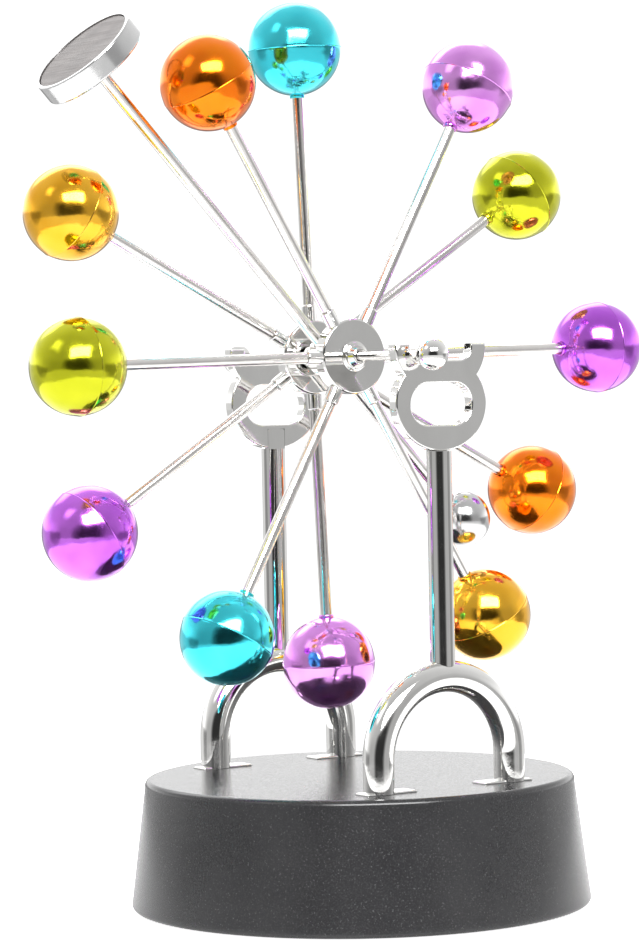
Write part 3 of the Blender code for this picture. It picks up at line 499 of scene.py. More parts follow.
def soften_rims(bm, axis, planes, width):
    """Rounds the edges between walls and the flat faces that lie at these places on one axis."""
    for plane in planes:
        rims = [e for e in bm.edges if len(e.link_faces) == 2
                and all(abs(v.co[axis] - plane) < 0.01 * MM for v in e.verts)
                and e.calc_face_angle(0.0) > math.radians(50)]
        bmesh.ops.bevel(bm, geom=rims, offset=width, offset_type="OFFSET", affect="EDGES",
                        segments=FINE, profile=0.5, material=-1)


def placed(bm, matrix):
    """A turned piece moved to its place, with its own turning frame kept for its finish."""
    keep_along(bm)
    bmesh.ops.transform(bm, matrix=matrix, verts=bm.verts)
    return bm


def rod_bmesh(radius, low, high):
    """A plain round rod standing on Z, with crisp ends."""
    return spin_profile(softened([
        (0.0, high), (radius, high), (radius, low), (0.0, low),
    ], CRISP), sides=ROD_SIDES)


def shifted(bm, x, y):
    """The piece moved sideways in plan."""
    bmesh.ops.translate(bm, vec=(x, y, 0.0), verts=bm.verts)
    return bm


# ---- base -----------------------------------------------------------------------------------------
def flange_places(y):
    """Middles, in plan, of the two flanges of the arch at this y."""
    offset = LEG_X - FLANGE_SHIFT
    return [Vector((x, y, 0.0)) for x in (-offset, offset)]


def make_base():
    """The tapered housing with its soft top edge, a thin bottom rim and the four flange pockets."""
    ceiling = BASE_TOP_Z - BASE_TOP_WALL
    edge = arc(BASE_TOP_R - BASE_EDGE_R, BASE_TOP_Z - BASE_EDGE_R, BASE_EDGE_R, 90, BASE_DRAFT, 10)
    rim = arc(BASE_BOTTOM_R - BASE_RIM_R, base_low.z + BASE_RIM_R, BASE_RIM_R, BASE_DRAFT, -90, 6)
    points = [(0.0, BASE_TOP_Z), (BASE_TOP_R - BASE_EDGE_R - 1 * MM, BASE_TOP_Z), *edge]
    points += [(BASE_TOP_R + 0.1 * MM, BASE_TOP_Z - BASE_EDGE_R - 1 * MM)]
    points += [(BASE_BOTTOM_R - 0.12 * MM, base_low.z + BASE_RIM_R + 1 * MM), *rim]
    points += [
        (BASE_BOTTOM_R - BASE_WALL, base_low.z), (BASE_TOP_R - BASE_WALL, ceiling), (0.0, ceiling),
    ]
    shell = spin_profile(points, sides=BASE_SIDES)
    pocket = FLANGE + Vector((2 * FLANGE_POCKET_GAP, 2 * FLANGE_POCKET_GAP, 0.0))
    pocket.z = 2 * (FLANGE.z - FLANGE_PROUD + 0.2 * MM)
    middles = [place + Vector((0, 0, BASE_TOP_Z)) for y in (-SUPPORT_Y, SUPPORT_Y)
               for place in flange_places(y)]
    cut = block_bmesh(middles, pocket, 0.6 * MM, upright=True)
    shell = combined(shell, [("DIFFERENCE", cut)])
    add_piece("base_housing", shell, black_plastic, "root", "base_shell", even=True)


# ---- underside ------------------------------------------------------------------------------------
def box_of(node):
    """Middle and size of a node's box."""
    low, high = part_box(node)
    return (low + high) / 2, high - low


def upright_bars(places, radius, low, high):
    """Round bars that cut holes and seats from below."""
    bm = bmesh.new()
    for place in places:
        bmesh.ops.create_cone(
            bm, cap_ends=True, segments=64, radius1=radius, radius2=radius, depth=high - low,
            matrix=Matrix.Translation((place.x, place.y, (low + high) / 2)))
    return bm


def make_cover():
    """The bottom disc: battery bay, seats for the feet and screw heads, and the switch's slot."""
    low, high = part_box("bottom_cover")
    ring, top = low.z + COVER_STEP, low.z + COVER_T
    cover = spin_profile(softened([
        (0.0, top), (high.x, top), (high.x, ring), (COVER_PANEL_R + COVER_STEP, ring),
        (COVER_PANEL_R, low.z), (0.0, low.z),
    ], SOFT), sides=BASE_SIDES)

    door, door_size = box_of("battery_door")
    opening = Vector((door_size.x + 2 * DOOR_GAP, door_size.y + 2 * DOOR_GAP, 6 * high.z))
    rise = high.z - top + BAY_OVERLAP
    wall = Vector((opening.x + 2 * BAY_WALL, opening.y + 2 * BAY_WALL, rise))
    bay_wall = block_bmesh([Vector((door.x, door.y, high.z - rise / 2))], wall)
    bay = block_bmesh([Vector((door.x, door.y, 0.0))], opening, 0.6 * MM, upright=True)

    knob, knob_size = box_of("switch_slider")
    slot_size = Vector((knob_size.x + SWITCH_TRAVEL + 2 * SLOT_END_GAP,
                        knob_size.y + 2 * SLOT_SIDE_GAP, 6 * COVER_T))
    slot_middle = Vector((knob.x - SWITCH_TRAVEL / 2, knob.y, low.z))
    slot = block_bmesh([slot_middle], slot_size, 0.4 * MM, upright=True)

    feet = [box_of(f"rubber_foot_{n}") for n in (1, 2, 3)]
    screws = [box_of(f"cover_screw_{n}") for n in (1, 2, 3)]
    foot_places, screw_places = [foot[0] for foot in feet], [screw[0] for screw in screws]
    foot_r, head_r = feet[0][1].x / 2, screws[0][1].x / 2
    under, over = low.z - 1 * MM, top + 1 * MM
    cover = combined(cover, [
        ("UNION", bay_wall),
        ("DIFFERENCE", bay),
        ("DIFFERENCE", slot),
        ("DIFFERENCE", upright_bars(foot_places, foot_r + FOOT_GAP, under, ring + FOOT_SINK)),
        ("DIFFERENCE", upright_bars(screw_places, head_r + HEAD_GAP, under, ring + HEAD_SINK)),
        ("DIFFERENCE", upright_bars(screw_places, THREAD_HOLE_R, under, over)),
    ])
    soften_rims(cover, 2, (low.z, ring), COVER_EDGE)
    add_piece("cover_disc", cover, black_plastic, "root", "bottom_cover", even=True)


def make_battery_lid():
    """The lid, with grip ridges across the edge that swings down."""
    middle, size = box_of("battery_door")
    lid = block_bmesh([middle], size, SOFT)
    start, outside = middle.y - size.y / 2 + GRIP_START, middle.z - size.z / 2
    places = [Vector((middle.x, start + GRIP_PITCH * k, outside)) for k in range(4)]
    lid = combined(lid, [("DIFFERENCE", block_bmesh(places, GRIP_GROOVE, CRISP))])
    add_piece("battery_lid_plate", lid, black_plastic, "battery_lid", "battery_door", even=True)


def make_foot(number):
    """A round pad with a shallow hollow in its tread."""
    node = f"rubber_foot_{number}"
    middle, size = box_of(node)
    radius, low, high = size.x / 2, middle.z - size.z / 2, middle.z + size.z / 2
    foot = spin_profile(softened([
        (0.0, high), (radius, high), (radius, low), (radius - 1.1 * MM, low),
        (radius - 1.5 * MM, low + FOOT_DISH), (0.0, low + FOOT_DISH),
    ], 0.25 * MM), sides=64)
    add_piece(f"foot_pad_{number}", shifted(foot, middle.x, middle.y), black_rubber, "root", node)


def make_screw(number):
    """A pan head with a cross recess, on a pointed thread."""
    node = f"cover_screw_{number}"
    middle, size = box_of(node)
    radius, low, high = size.x / 2, middle.z - size.z / 2, middle.z + size.z / 2
    head = low + HEAD_SINK - 0.3 * MM
    thread = [(0.0, high), (THREAD_R, high - 1.5 * MM), (THREAD_R, head)]
    screw = spin_profile([*thread, *softened([
        (THREAD_R, head), (radius, head), (radius, low + 0.3 * MM), (radius - 0.8 * MM, low),
        (0.0, low),
    ], 0.15 * MM)[1:]], sides=48)
    place = Vector((middle.x, middle.y, low))
    arms = [("DIFFERENCE", block_bmesh([place], arm, 0.1 * MM)) for arm in CROSS_ARMS]
    screw = combined(shifted(screw, middle.x, middle.y), arms)
    add_piece(f"screw_{number}", screw, zinc_steel, "root", node, even=True)


def make_switch_knob():
    """The slider: a ribbed cap with a narrower stem up into the switch."""
    middle, size = box_of("switch_slider")
    low, high = middle.z - size.z / 2, middle.z + size.z / 2
    cap_top = low + COVER_T - 0.8 * MM
    cap = block_bmesh([Vector((middle.x, middle.y, (low + cap_top) / 2))],
                      Vector((size.x, size.y, cap_top - low)), SOFT)
    stem_size = STEM + Vector((0.0, 0.0, high - cap_top + STEM_OVERLAP))
    stem_z = (cap_top + high) / 2 - STEM_OVERLAP / 2
    stem = block_bmesh([Vector((middle.x, middle.y, stem_z))], stem_size)
    places = [Vector((middle.x + x, middle.y, low)) for x in (-1.0 * MM, 0.0, 1.0 * MM)]
    grooves = block_bmesh(places, Vector((0.45 * MM, size.y + 1 * MM, 0.8 * MM)), 0.1 * MM)
    knob = combined(cap, [("UNION", stem), ("DIFFERENCE", grooves)])
    add_piece("switch_cap", knob, grey_plastic, "switch_knob", "switch_slider", even=True)


def make_battery():
    """The block battery's folded jacket with its two studs."""
    low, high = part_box("battery")
    size = Vector((high.x - low.x - STUD_L, high.y - low.y, high.z - low.z))
    middle = Vector((low.x + size.x / 2, (low.y + high.y) / 2, (low.z + high.z) / 2))
    case = block_bmesh([middle], size, JACKET_EDGE)
    lying = Matrix.Rotation(math.pi / 2, 4, "Y")
    studs = bmesh.new()
    for y in (-STUD_OFFSET, STUD_OFFSET):
        place = Matrix.Translation((high.x - STUD_L / 2 - 0.5 * MM, middle.y + y, middle.z))
        bmesh.ops.create_cone(studs, cap_ends=True, segments=48, radius1=STUD_R,
                              radius2=STUD_TOP_R, depth=STUD_L + 1 * MM, matrix=place @ lying)
    case = combined(case, [("UNION", studs)])
    add_piece("battery_case", case, battery_wrap, "root", "battery", even=True)


# ---- supports -------------------------------------------------------------------------------------
def open_edges(bm, ring):
    """The edges that run between these points."""
    return [edge for edge in bm.edges if set(edge.verts) <= set(ring)]


def drawn_on(bm, ring, heights):
    """The bar's open end drawn on straight to each of these heights; returns its new points."""
    for z in heights:
        made = bmesh.ops.extrude_edge_only(bm, edges=open_edges(bm, ring))
        ring = [item for item in made["geom"] if isinstance(item, bmesh.types.BMVert)]
        for vert in ring:
            vert.co.z = z
    return ring


def arch_bmesh(y, radius, foot_z):
    """A round bar: up one foot, round the half circle and down the other."""
    bm = bmesh.new()
    heights = (foot_z + 0.1 * MM, ARCH_CENTRE_Z - 0.3 * MM, ARCH_CENTRE_Z)
    first = bmesh.ops.create_circle(bm, cap_ends=False, segments=48, radius=radius,
                                    matrix=Matrix.Translation((-LEG_X, y, foot_z)))["verts"]
    ring = drawn_on(bm, first, heights)
    made = bmesh.ops.spin(bm, geom=ring + open_edges(bm, ring), cent=(0, y, ARCH_CENTRE_Z),
                          axis=(0, 1, 0), angle=math.pi, steps=64, use_merge=False)
    ring = [item for item in made["geom_last"] if isinstance(item, bmesh.types.BMVert)]
    last = drawn_on(bm, ring, (heights[1], heights[0], foot_z))
    for end in (first, last):
        bmesh.ops.holes_fill(bm, edges=open_edges(bm, end), sides=0)
    bmesh.ops.recalc_face_normals(bm, faces=bm.faces)
    return bm


def make_arch(side, y):
    """The inverted U, with the flange under each foot."""
    arch = arch_bmesh(y, ARCH_TUBE_R, BASE_TOP_Z + 0.1 * MM)
    middles = [place + Vector((0, 0, BASE_TOP_Z + FLANGE_PROUD - FLANGE.z / 2))
               for place in flange_places(y)]
    flanges = block_bmesh(middles, FLANGE, 0.35 * MM)
    arch = combined(arch, [("UNION", flanges)])
    add_piece(f"{side}_arch_bar", arch, chrome, "root", f"{side}_arch", even=True)


def make_post(side, y, inward):
    """A straight bar, saddled over the arch, whose flat lug is let into the plate's inner face."""
    arch_top = ARCH_CENTRE_Z + LEG_X
    points = [
        *softened([(0.0, LUG_TOP_Z), (POST_R, LUG_TOP_Z), (POST_R, PLATE_BOTTOM_Z)], 0.5 * MM),
        (POST_R, arch_top + 5 * MM), (POST_R, arch_top), (0.0, arch_top),
    ]
    post = shifted(spin_profile(points, sides=64), 0, y)
    saddle = arch_bmesh(y, ARCH_TUBE_R + 0.04 * MM, BASE_TOP_Z)
    step = Vector((4 * POST_R, 4 * POST_R, 2 * (LUG_TOP_Z - PLATE_BOTTOM_Z)))
    z = PLATE_BOTTOM_Z - SLIP + step.z / 2
    outer = Vector((0, y + inward * (LUG_STEP - step.y / 2), z))
    inner = Vector((0, y + inward * (PLATE_T / 2 + LUG_PROUD + step.y / 2), z))
    sides_cut = block_bmesh([outer, inner], step)
    post = combined(post, [("DIFFERENCE", saddle), ("DIFFERENCE", sides_cut)])
    add_piece(f"{side}_post_bar", post, chrome, "root", f"{side}_post", even=True)


def plate_outline():
    """Two stacked lobes, the upper one cut open into horns with a flat notch between them."""
    def lobe(centre_z, start, end, count):
        unit = arc(0.0, 0.0, 1.0, start, end, count)
        return [(PLATE_HALF_W * x, centre_z + PLATE_HALF_H * z) for x, z in unit]

    waist = math.degrees(math.asin((LOBE_HIGH_Z - LOBE_LOW_Z) / 2 / PLATE_HALF_H))
    horn = math.degrees(math.asin((HORN_TOP_Z - LOBE_HIGH_Z) / PLATE_HALF_H))
    low = lobe(LOBE_LOW_Z, waist, -180 - waist, 96)
    left_horn = lobe(LOBE_HIGH_Z, -180 + waist, -180 - horn, 16)[1:]
    right_horn = lobe(LOBE_HIGH_Z, horn, -waist, 16)[:-1]
    corner_x, corner_z = NOTCH_HALF_W - NOTCH_CORNER_R, NOTCH_FLOOR_Z + NOTCH_CORNER_R
    notch = [(-NOTCH_HALF_W, HORN_TOP_Z)]
    notch += arc(-corner_x, corner_z, NOTCH_CORNER_R, 180, 270, 12)
    notch += arc(corner_x, corner_z, NOTCH_CORNER_R, 270, 360, 12)
    notch += [(NOTCH_HALF_W, HORN_TOP_Z)]
    return low + left_horn + notch + right_horn


def hole_outline():
    """The long round-ended hole through the lower lobe."""
    reach = HOLE_HALF_W - HOLE_HALF_H
    return (arc(reach, HOLE_Z, HOLE_HALF_H, -90, 90, 24)
            + arc(-reach, HOLE_Z, HOLE_HALF_H, 90, 270, 24))


def slab(outline, y, thickness):
    """A flat outline of (x, z) points as a slab centred on a y plane."""
    bm = bmesh.new()
    face = bm.faces.new([bm.verts.new((x, y - thickness / 2, z)) for x, z in outline])
    made = bmesh.ops.extrude_face_region(bm, geom=[face])
    verts = [item for item in made["geom"] if isinstance(item, bmesh.types.BMVert)]
    bmesh.ops.translate(bm, vec=(0, thickness, 0), verts=verts)
    bmesh.ops.recalc_face_normals(bm, faces=bm.faces)
    return bm


def make_cradle_plate(side, y, inward):
    """The flat plate that the axle lies in, grooved inside for the post's lug."""
    plate = slab(plate_outline(), y, PLATE_T)
    hole = slab(hole_outline(), y, 3 * PLATE_T)
    plate = combined(plate, [("DIFFERENCE", hole)])
    bmesh.ops.dissolve_limit(plate, angle_limit=math.radians(0.5), verts=plate.verts,
                             edges=plate.edges)
    soften_rims(plate, 1, (y - PLATE_T / 2, y + PLATE_T / 2), 0.45 * MM)
    top, radius = LUG_TOP_Z + SLIP, POST_R + SLIP
    groove = spin_profile([
        (0.0, top), (radius, top), (radius, LUG_TOP_Z - GROOVE_L), (0.0, LUG_TOP_Z - GROOVE_L),
    ], sides=64)
    half = Vector((6 * POST_R, 4 * POST_R, 30 * MM))
    floor_y = y + inward * (GROOVE_STEP - half.y / 2)
    outer = block_bmesh([Vector((0.0, floor_y, LUG_TOP_Z))], half)
    groove = combined(shifted(groove, 0, y), [("DIFFERENCE", outer)])
    plate = combined(plate, [("DIFFERENCE", groove)])
    add_piece(f"{side}_cradle", plate, chrome, "root", f"{side}_cradle_plate", even=True)


# ---- wheel ----------------------------------------------------------------------------------------
def make_axle():
    """The thin shaft, and the collared ball on each of its ends."""
    points = softened([
        (0.0, SHAFT_END), (AXLE_R, SHAFT_END), (AXLE_R, -SHAFT_END), (0.0, -SHAFT_END),
    ], SOFT)
    shaft = placed(spin_profile(points, sides=48), endways(0.0, 1))
    add_piece("axle_rod", shaft, bright_steel, "wheel", "axle_shaft")
    bore, neck_end = AXLE_R + SLIP, END_BALL_R + 0.8 * MM
    for side, sign in (("front", -1), ("rear", 1)):
        ball = arc(0.0, 0.0, END_BALL_R, 61, -90, 30)
        collar = softened([
            (bore, neck_end), (1.9 * MM, neck_end), (1.9 * MM, neck_end - 0.7 * MM),
            (1.5 * MM, neck_end - 0.8 * MM), (1.5 * MM, END_BALL_R - 0.25 * MM),
            (1.85 * MM, END_BALL_R - 0.35 * MM), ball[0],
        ], 0.15 * MM)
        profile = [(0.0, -1.6 * MM), (bore, -1.6 * MM), *collar, *ball[1:]]
        knob = placed(spin_profile(profile, sides=64), endways(sign * END_BALL_Y, -sign))
        add_piece(f"{side}_end_ball", knob, chrome, "axle_carriage", f"{side}_axle_ball")


def make_hub(side, y, outward):
    """A thick disc with a stepped boss outside and a socket for each rod."""
    half, bore = HUB_T / 2, AXLE_R + BORE_GAP
    profile = softened([
        (bore, half + 2.6 * MM), (2.1 * MM, half + 2.6 * MM), (2.9 * MM, half + 1.0 * MM),
        (3.6 * MM, half + 0.9 * MM), (3.6 * MM, half), (HUB_R - HUB_RIM, half),
        (HUB_R, half - HUB_RIM), (HUB_R, HUB_RIM - half), (HUB_R - HUB_RIM, -half),
        (3.2 * MM, -half), (3.2 * MM, -half - 1.6 * MM), (bore, -half - 1.6 * MM),
    ], 0.35 * MM, closed=True)
    disc = placed(spin_profile(profile, closed=True), endways(y, outward))
    root = HUB_R - STUB_ROOT
    stubs = bmesh.new()
    for k in range(6):
        stub = spin_profile(softened([
            (0.0, STUB_END), (STUB_R - 0.15 * MM, STUB_END), (STUB_R, root), (0.0, root),
        ], SOFT), sides=32)
        bmesh.ops.transform(stub, matrix=radial(HUB_ANGLE[side] + 60 * k, y), verts=stub.verts)
        part = bpy.data.meshes.new("stub")
        stub.to_mesh(part)
        stub.free()
        stubs.from_mesh(part)
        bpy.data.meshes.remove(part)
    hub = combined(disc, [("UNION", stubs)])
    add_piece(f"{side}_hub_disc", hub, chrome, "wheel", f"{side}_hub", even=True)


def shell_point(angle, inset=0.0):
    """A point of a ball's outer profile, which stands up a little towards its seam."""
    radius = BALL_R * (1.0 + SEAM_LIP * math.exp(-((angle / SEAM_SPREAD) ** 2))) - inset
    turn = math.radians(angle)
    return radius * math.cos(turn), BALL_ORBIT + radius * math.sin(turn)


def make_arm_and_ball(side, y, degrees, colour):
    """One rod of a hub, and the hollow two-part ball at its end."""
    near = BALL_ORBIT - BALL_R
    arm = rod_bmesh(ARM_R, STUB_END + SLIP, near + ROD_BITE)
    add_piece(f"{side}_rod_{colour}", placed(arm, radial(degrees, y)), bright_steel, "wheel",
              f"{side}_arm_{colour}")

    bottom = -math.degrees(math.acos(BALL_COLLAR_R / BALL_R))
    top_half = [90 - 88 * (i / 30) for i in range(30)] + [3.0, 2.0, 1.2, 0.6]
    low_half = [-0.6, -1.2, -2.0, -3.0] + [-4.5 + (bottom + 4.5) * i / 24 for i in range(25)]
    outer = [shell_point(angle) for angle in top_half]
    outer += [(BALL_R * SEAM_FLASH, BALL_ORBIT)]
    outer += [shell_point(angle, SEAM_STEP) for angle in low_half]
    bore, lip = ARM_R + NECK_GAP, near - BALL_COLLAR_H
    neck = softened([
        outer[-1], (BALL_COLLAR_R, near - SLIP), (BALL_COLLAR_R - 0.1 * MM, lip),
        (bore, lip), (bore, near + 1.6 * MM),
    ], CRISP)
    inner_r = BALL_R - BALL_WALL
    start = -math.degrees(math.acos((ARM_R + 0.3 * MM) / inner_r))
    inner = arc(0.0, BALL_ORBIT, inner_r, start, 90, 20)
    ball = spin_profile([*outer[:-1], *neck, *inner])
    add_piece(f"{side}_shell_{colour}", placed(ball, radial(degrees, y)), ball_finish[colour],
              "wheel", f"{side}_ball_{colour}")


def make_pendulum():
    """The boss on the axle, the long rod to the magnet and the short one to the counterweight."""
    half, bore = BOSS_L / 2, AXLE_R + BORE_GAP
    boss = spin_profile(softened([
        (bore, half), (BOSS_R, half), (BOSS_R, -half), (bore, -half),
    ], 0.5 * MM, closed=True), closed=True, sides=64)
    add_piece("pendulum_barrel", placed(boss, endways(0.0, 1)), chrome, "wheel", "pendulum_boss")

    root, out, back = BOSS_R - 0.3 * MM, radial(PENDULUM_ANGLE), radial(PENDULUM_ANGLE + 180)
    cup_back = MAGNET_FACE - CUP_H
    rod = rod_bmesh(PENDULUM_ROD_R, root, cup_back - SLIP)
    add_piece("pendulum_bar", placed(rod, out), bright_steel, "wheel", "pendulum_rod")

    inside_r, floor_z = CUP_R - CUP_WALL, cup_back + CUP_FLOOR
    cup = spin_profile(softened([
        (inside_r, MAGNET_FACE), (CUP_R, MAGNET_FACE), (CUP_R, cup_back), (0.0, cup_back),
    ], 0.55 * MM)[:-1] + [
        (0.0, cup_back), (0.0, floor_z), (inside_r, floor_z), (inside_r, MAGNET_FACE),
    ])
    add_piece("magnet_shell", placed(cup, out), silver_plate, "wheel", "magnet_cup", even=True)

    disc_r, face_z, under_z = inside_r - NECK_GAP, MAGNET_FACE - MAGNET_SINK, floor_z + MAGNET_SINK
    disc = spin_profile(softened([
        (0.0, face_z), (disc_r, face_z), (disc_r, under_z), (0.0, under_z),
    ], SOFT))
    add_piece("magnet_face", placed(disc, out), magnet_grey, "wheel", "magnet_disc")

    near = COUNTERWEIGHT_ORBIT - COUNTERWEIGHT_R
    short = rod_bmesh(PENDULUM_ROD_R, root, near + ROD_BITE)
    add_piece("counterweight_bar", placed(short, back), bright_steel, "wheel", "counterweight_rod")

    start = -math.degrees(math.acos(COUNTERWEIGHT_NECK_R / COUNTERWEIGHT_R))
    outline = arc(0.0, COUNTERWEIGHT_ORBIT, COUNTERWEIGHT_R, 90, start, 40)
    seat_r, lip, seat_end = PENDULUM_ROD_R + NECK_GAP, near - 0.4 * MM, near + ROD_BITE + 0.6 * MM
    neck = softened([
        outline[-1], (COUNTERWEIGHT_NECK_R, lip), (seat_r, lip), (seat_r, seat_end), (0.0, seat_end),
    ], CRISP)
    weight = spin_profile([*outline[:-1], *neck], sides=80)
    add_piece("counterweight_sphere", placed(weight, back), silver_plate, "wheel",
              "counterweight_ball")


# ---- build ----------------------------------------------------------------------------------------
make_base()
make_cover()
make_battery_lid()
for number in (1, 2, 3):
    make_foot(number)
    make_screw(number)
make_switch_knob()
make_battery()
for side, y, inward in (("front", -SUPPORT_Y, 1), ("rear", SUPPORT_Y, -1)):
    make_arch(side, y)
    make_post(side, y, inward)
    make_cradle_plate(side, y, inward)
make_axle()
for side, y, outward in (("front", -HUB_Y, -1), ("rear", HUB_Y, 1)):
    make_hub(side, y, outward)
    for k, colour in enumerate(BALL_COLOURS[side]):
        make_arm_and_ball(side, y, HUB_ANGLE[side] + 60 * k, colour)
make_pendulum()

# ---- carried-over nodes ---------------------------------------------------------------------------
kept = {
    "circuit_board": green_board, "coil_bobbin": white_nylon, "coil_winding": copper_wire,
    "coil_core": zinc_steel, "battery_snap": black_rubber,
}
for node, finish in kept.items():
    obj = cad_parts[node]
    obj.data.materials.clear()
    obj.data.materials.append(finish)


# ---- studio ---------------------------------------------------------------------------------------
VIEW_AZIMUTH = -34.0              # degrees; panels and flags are placed from this side
EYE = Vector((-497.9, -735.2, 139.0)) * MM
AIM = Vector((-7.4, 4.9, 112.6)) * MM
CAMERA_ROLL = -1.13
LENS = 129.1
SENSOR_W = 36.0
TABLE_R = 0.345
TABLE_SINK = 0.05 * MM
BACKDROP_LIGHT = 1.1
EVEN_LIGHT = 0.8
# soft panels: azimuth, elevation, half width, half height, width of the soft edge, strength
KEY_PANEL = (12, 36, 0.46, 0.22, 0.06, 20.0)
FILL_PANEL = (-62, 44, 0.26, 0.26, 0.2, 1.6)
BACK_PANEL = (196, 40, 0.55, 0.30, 0.2, 2.2)
WIDE_PANEL = (6, 40, 0.6, 0.5, 0.3, 0.8)
# dark flags: azimuth, where the edge and the core begin, lowest and highest direction, depth
FLAGS = (
    (3, 0.72, 0.94, -0.14, 0.34, 0.93),
    (183, 0.88, 0.96, -0.35, 0.03, 0.6),
    (95, 0.93, 0.98, -0.35, 0.03, 0.5),
    (-88, 0.93, 0.98, -0.35, 0.03, 0.5),
)


def make_floor():
    """A round table of pale paper, which looks as bright as the backdrop."""
    bm = bmesh.new()
    bmesh.ops.create_circle(bm, cap_ends=True, segments=128, radius=TABLE_R,
                            matrix=Matrix.Translation((0.0, 0.0, -TABLE_SINK)))
    floor = loose_object("studio_floor", bm)
    mat, tree, shader = new_finish("floor_paper")
    fibre = spread(tree, object_noise(tree, 40 * MM, 3.0), 0, 1)
    tree.links.new(two_tone(tree, fibre, (0.92, 0.92, 0.92), (0.89, 0.89, 0.89)),
                   shader.inputs["Base Color"])
    shader.inputs["Roughness"].default_value = 0.9
    shader.inputs["Emission Color"].default_value = (1.0, 1.0, 1.0, 1.0)
    path = tree.nodes.new("ShaderNodeLightPath")
    tree.links.new(path.outputs["Is Camera Ray"], shader.inputs["Emission Strength"])
    floor.data.materials.append(mat)


def make_camera():
    data = bpy.data.cameras.new("studio_camera")
    camera = bpy.data.objects.new("studio_camera", data)
    bpy.context.scene.collection.objects.link(camera)
    data.lens = LENS
    data.sensor_width = SENSOR_W
    data.clip_start, data.clip_end = 0.01, 50.0
    camera.location = EYE
    look = (AIM - EYE).to_track_quat("-Z", "Y").to_matrix().to_4x4()
    roll = Matrix.Rotation(math.radians(CAMERA_ROLL), 4, "Z")
    camera.rotation_euler = (look @ roll).to_euler()
    bpy.context.scene.camera = camera


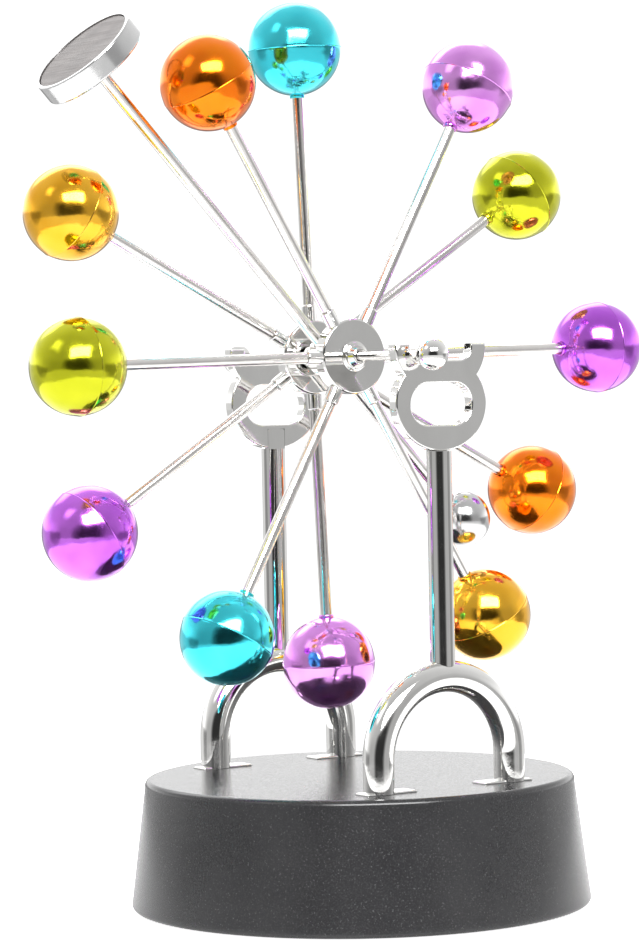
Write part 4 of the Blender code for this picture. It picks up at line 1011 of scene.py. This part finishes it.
class Sky:
    """Builds the studio's surroundings from directions: soft panels on a graded backdrop."""

    def __init__(self):
        world = bpy.data.worlds.new("studio")
        world.use_nodes = True
        bpy.context.scene.world = world
        self.tree = world.node_tree
        self.background = self.tree.nodes["Background"]
        self.direction = self.tree.nodes.new("ShaderNodeTexCoord").outputs["Generated"]

    def math(self, operation, *values):
        node = self.tree.nodes.new("ShaderNodeMath")
        node.operation = operation
        for socket, value in zip(node.inputs, values):
            if isinstance(value, (int, float)):
                socket.default_value = value
            else:
                self.tree.links.new(value, socket)
        return node.outputs[0]

    def along(self, vector):
        """How far the direction points along a unit vector."""
        node = self.tree.nodes.new("ShaderNodeVectorMath")
        node.operation = "DOT_PRODUCT"
        self.tree.links.new(self.direction, node.inputs[0])
        node.inputs[1].default_value = Vector(vector).normalized()
        return node.outputs["Value"]

    def towards(self, azimuth):
        """How far the direction points to a side, counted from the view's own."""
        a = math.radians(VIEW_AZIMUTH + azimuth)
        return self.along((math.sin(a), -math.cos(a), 0))

    def fade(self, value, start, end, low, high):
        return map_range(self.tree, value, start, end, low, high, "SMOOTHSTEP")

    def blend(self, first, second, factor):
        """The first value where the factor is 0 and the second where it is 1."""
        rest = self.math("MULTIPLY", first, self.math("SUBTRACT", 1.0, factor))
        return self.math("ADD", rest, self.math("MULTIPLY", second, factor))

    def panel(self, azimuth, elevation, half_w, half_h, soft, strength):
        """A rectangular light panel in that direction, dark outside it."""
        a, e = math.radians(VIEW_AZIMUTH + azimuth), math.radians(elevation)
        towards = Vector((math.sin(a) * math.cos(e), -math.cos(a) * math.cos(e), math.sin(e)))
        side = towards.cross(Vector((0, 0, 1))).normalized()
        up = side.cross(towards)
        depth = self.math("MAXIMUM", self.along(towards), 0.001)
        x = self.math("ABSOLUTE", self.math("DIVIDE", self.along(side), depth))
        y = self.math("ABSOLUTE", self.math("DIVIDE", self.along(up), depth))
        inside = self.math("MULTIPLY", self.fade(x, half_w - soft, half_w, 1, 0),
                           self.fade(y, half_h - soft, half_h, 1, 0))
        ahead = self.math("MULTIPLY", inside, self.fade(self.along(towards), 0.0, 0.1, 0, 1))
        return self.math("MULTIPLY", ahead, strength)

    def flagged(self, light, azimuth, edge, core, low, high, depth):
        """The light with a soft dark flag held in front of it."""
        height = self.along((0, 0, 1))
        dark = self.math("MULTIPLY", self.fade(self.towards(azimuth), edge, core, 0, depth),
                         self.fade(height, low - 0.02, low + 0.02, 0, 1))
        dark = self.math("MULTIPLY", dark, self.fade(height, high - 0.06, high + 0.06, 1, 0))
        return self.math("MULTIPLY", light, self.math("SUBTRACT", 1.0, dark))


def make_studio_light():
    """What the plated pieces mirror, an even light for the dull ones, and a white backdrop."""
    sky = Sky()
    height, facing = sky.along((0, 0, 1)), sky.towards(0)
    low_wall = sky.fade(height, 0.12, 0.40, 1.0, 0.0)
    ceiling = sky.fade(facing, -0.8, 0.9, 1.0, 0.55)
    walls = sky.blend(ceiling, sky.fade(facing, -0.6, 0.5, 0.85, 0.5), low_wall)
    glow = sky.math("MULTIPLY", sky.fade(facing, -0.9, 0.5, 1.15, 0),
                    sky.fade(height, 0.02, 0.08, 0, 1))
    walls = sky.math("ADD", walls, sky.math("MULTIPLY", glow, low_wall))
    ground = sky.fade(facing, -0.4, 0.2, 0.72, 0.97)
    walls = sky.blend(walls, ground, sky.fade(height, -0.17, -0.125, 1, 0))
    for flag in FLAGS:
        walls = sky.flagged(walls, *flag)
    mirrored = sky.math("ADD", sky.math("ADD", walls, sky.panel(*KEY_PANEL)),
                        sky.math("ADD", sky.panel(*FILL_PANEL), sky.panel(*BACK_PANEL)))
    even = sky.math("ADD", sky.panel(*WIDE_PANEL), EVEN_LIGHT)

    path = sky.tree.nodes.new("ShaderNodeLightPath").outputs
    seen = sky.math("MULTIPLY", path["Is Camera Ray"], BACKDROP_LIGHT)
    diffuse = sky.math("MULTIPLY", path["Is Diffuse Ray"], even)
    other = sky.math("SUBTRACT", sky.math("SUBTRACT", 1.0, path["Is Camera Ray"]),
                     path["Is Diffuse Ray"])
    total = sky.math("ADD", sky.math("ADD", seen, diffuse), sky.math("MULTIPLY", other, mirrored))
    sky.tree.links.new(total, sky.background.inputs["Strength"])
    sky.background.inputs["Color"].default_value = (1.0, 1.0, 1.0, 1.0)


make_floor()
make_camera()
make_studio_light()
bpy.context.scene.view_settings.view_transform = "Standard"
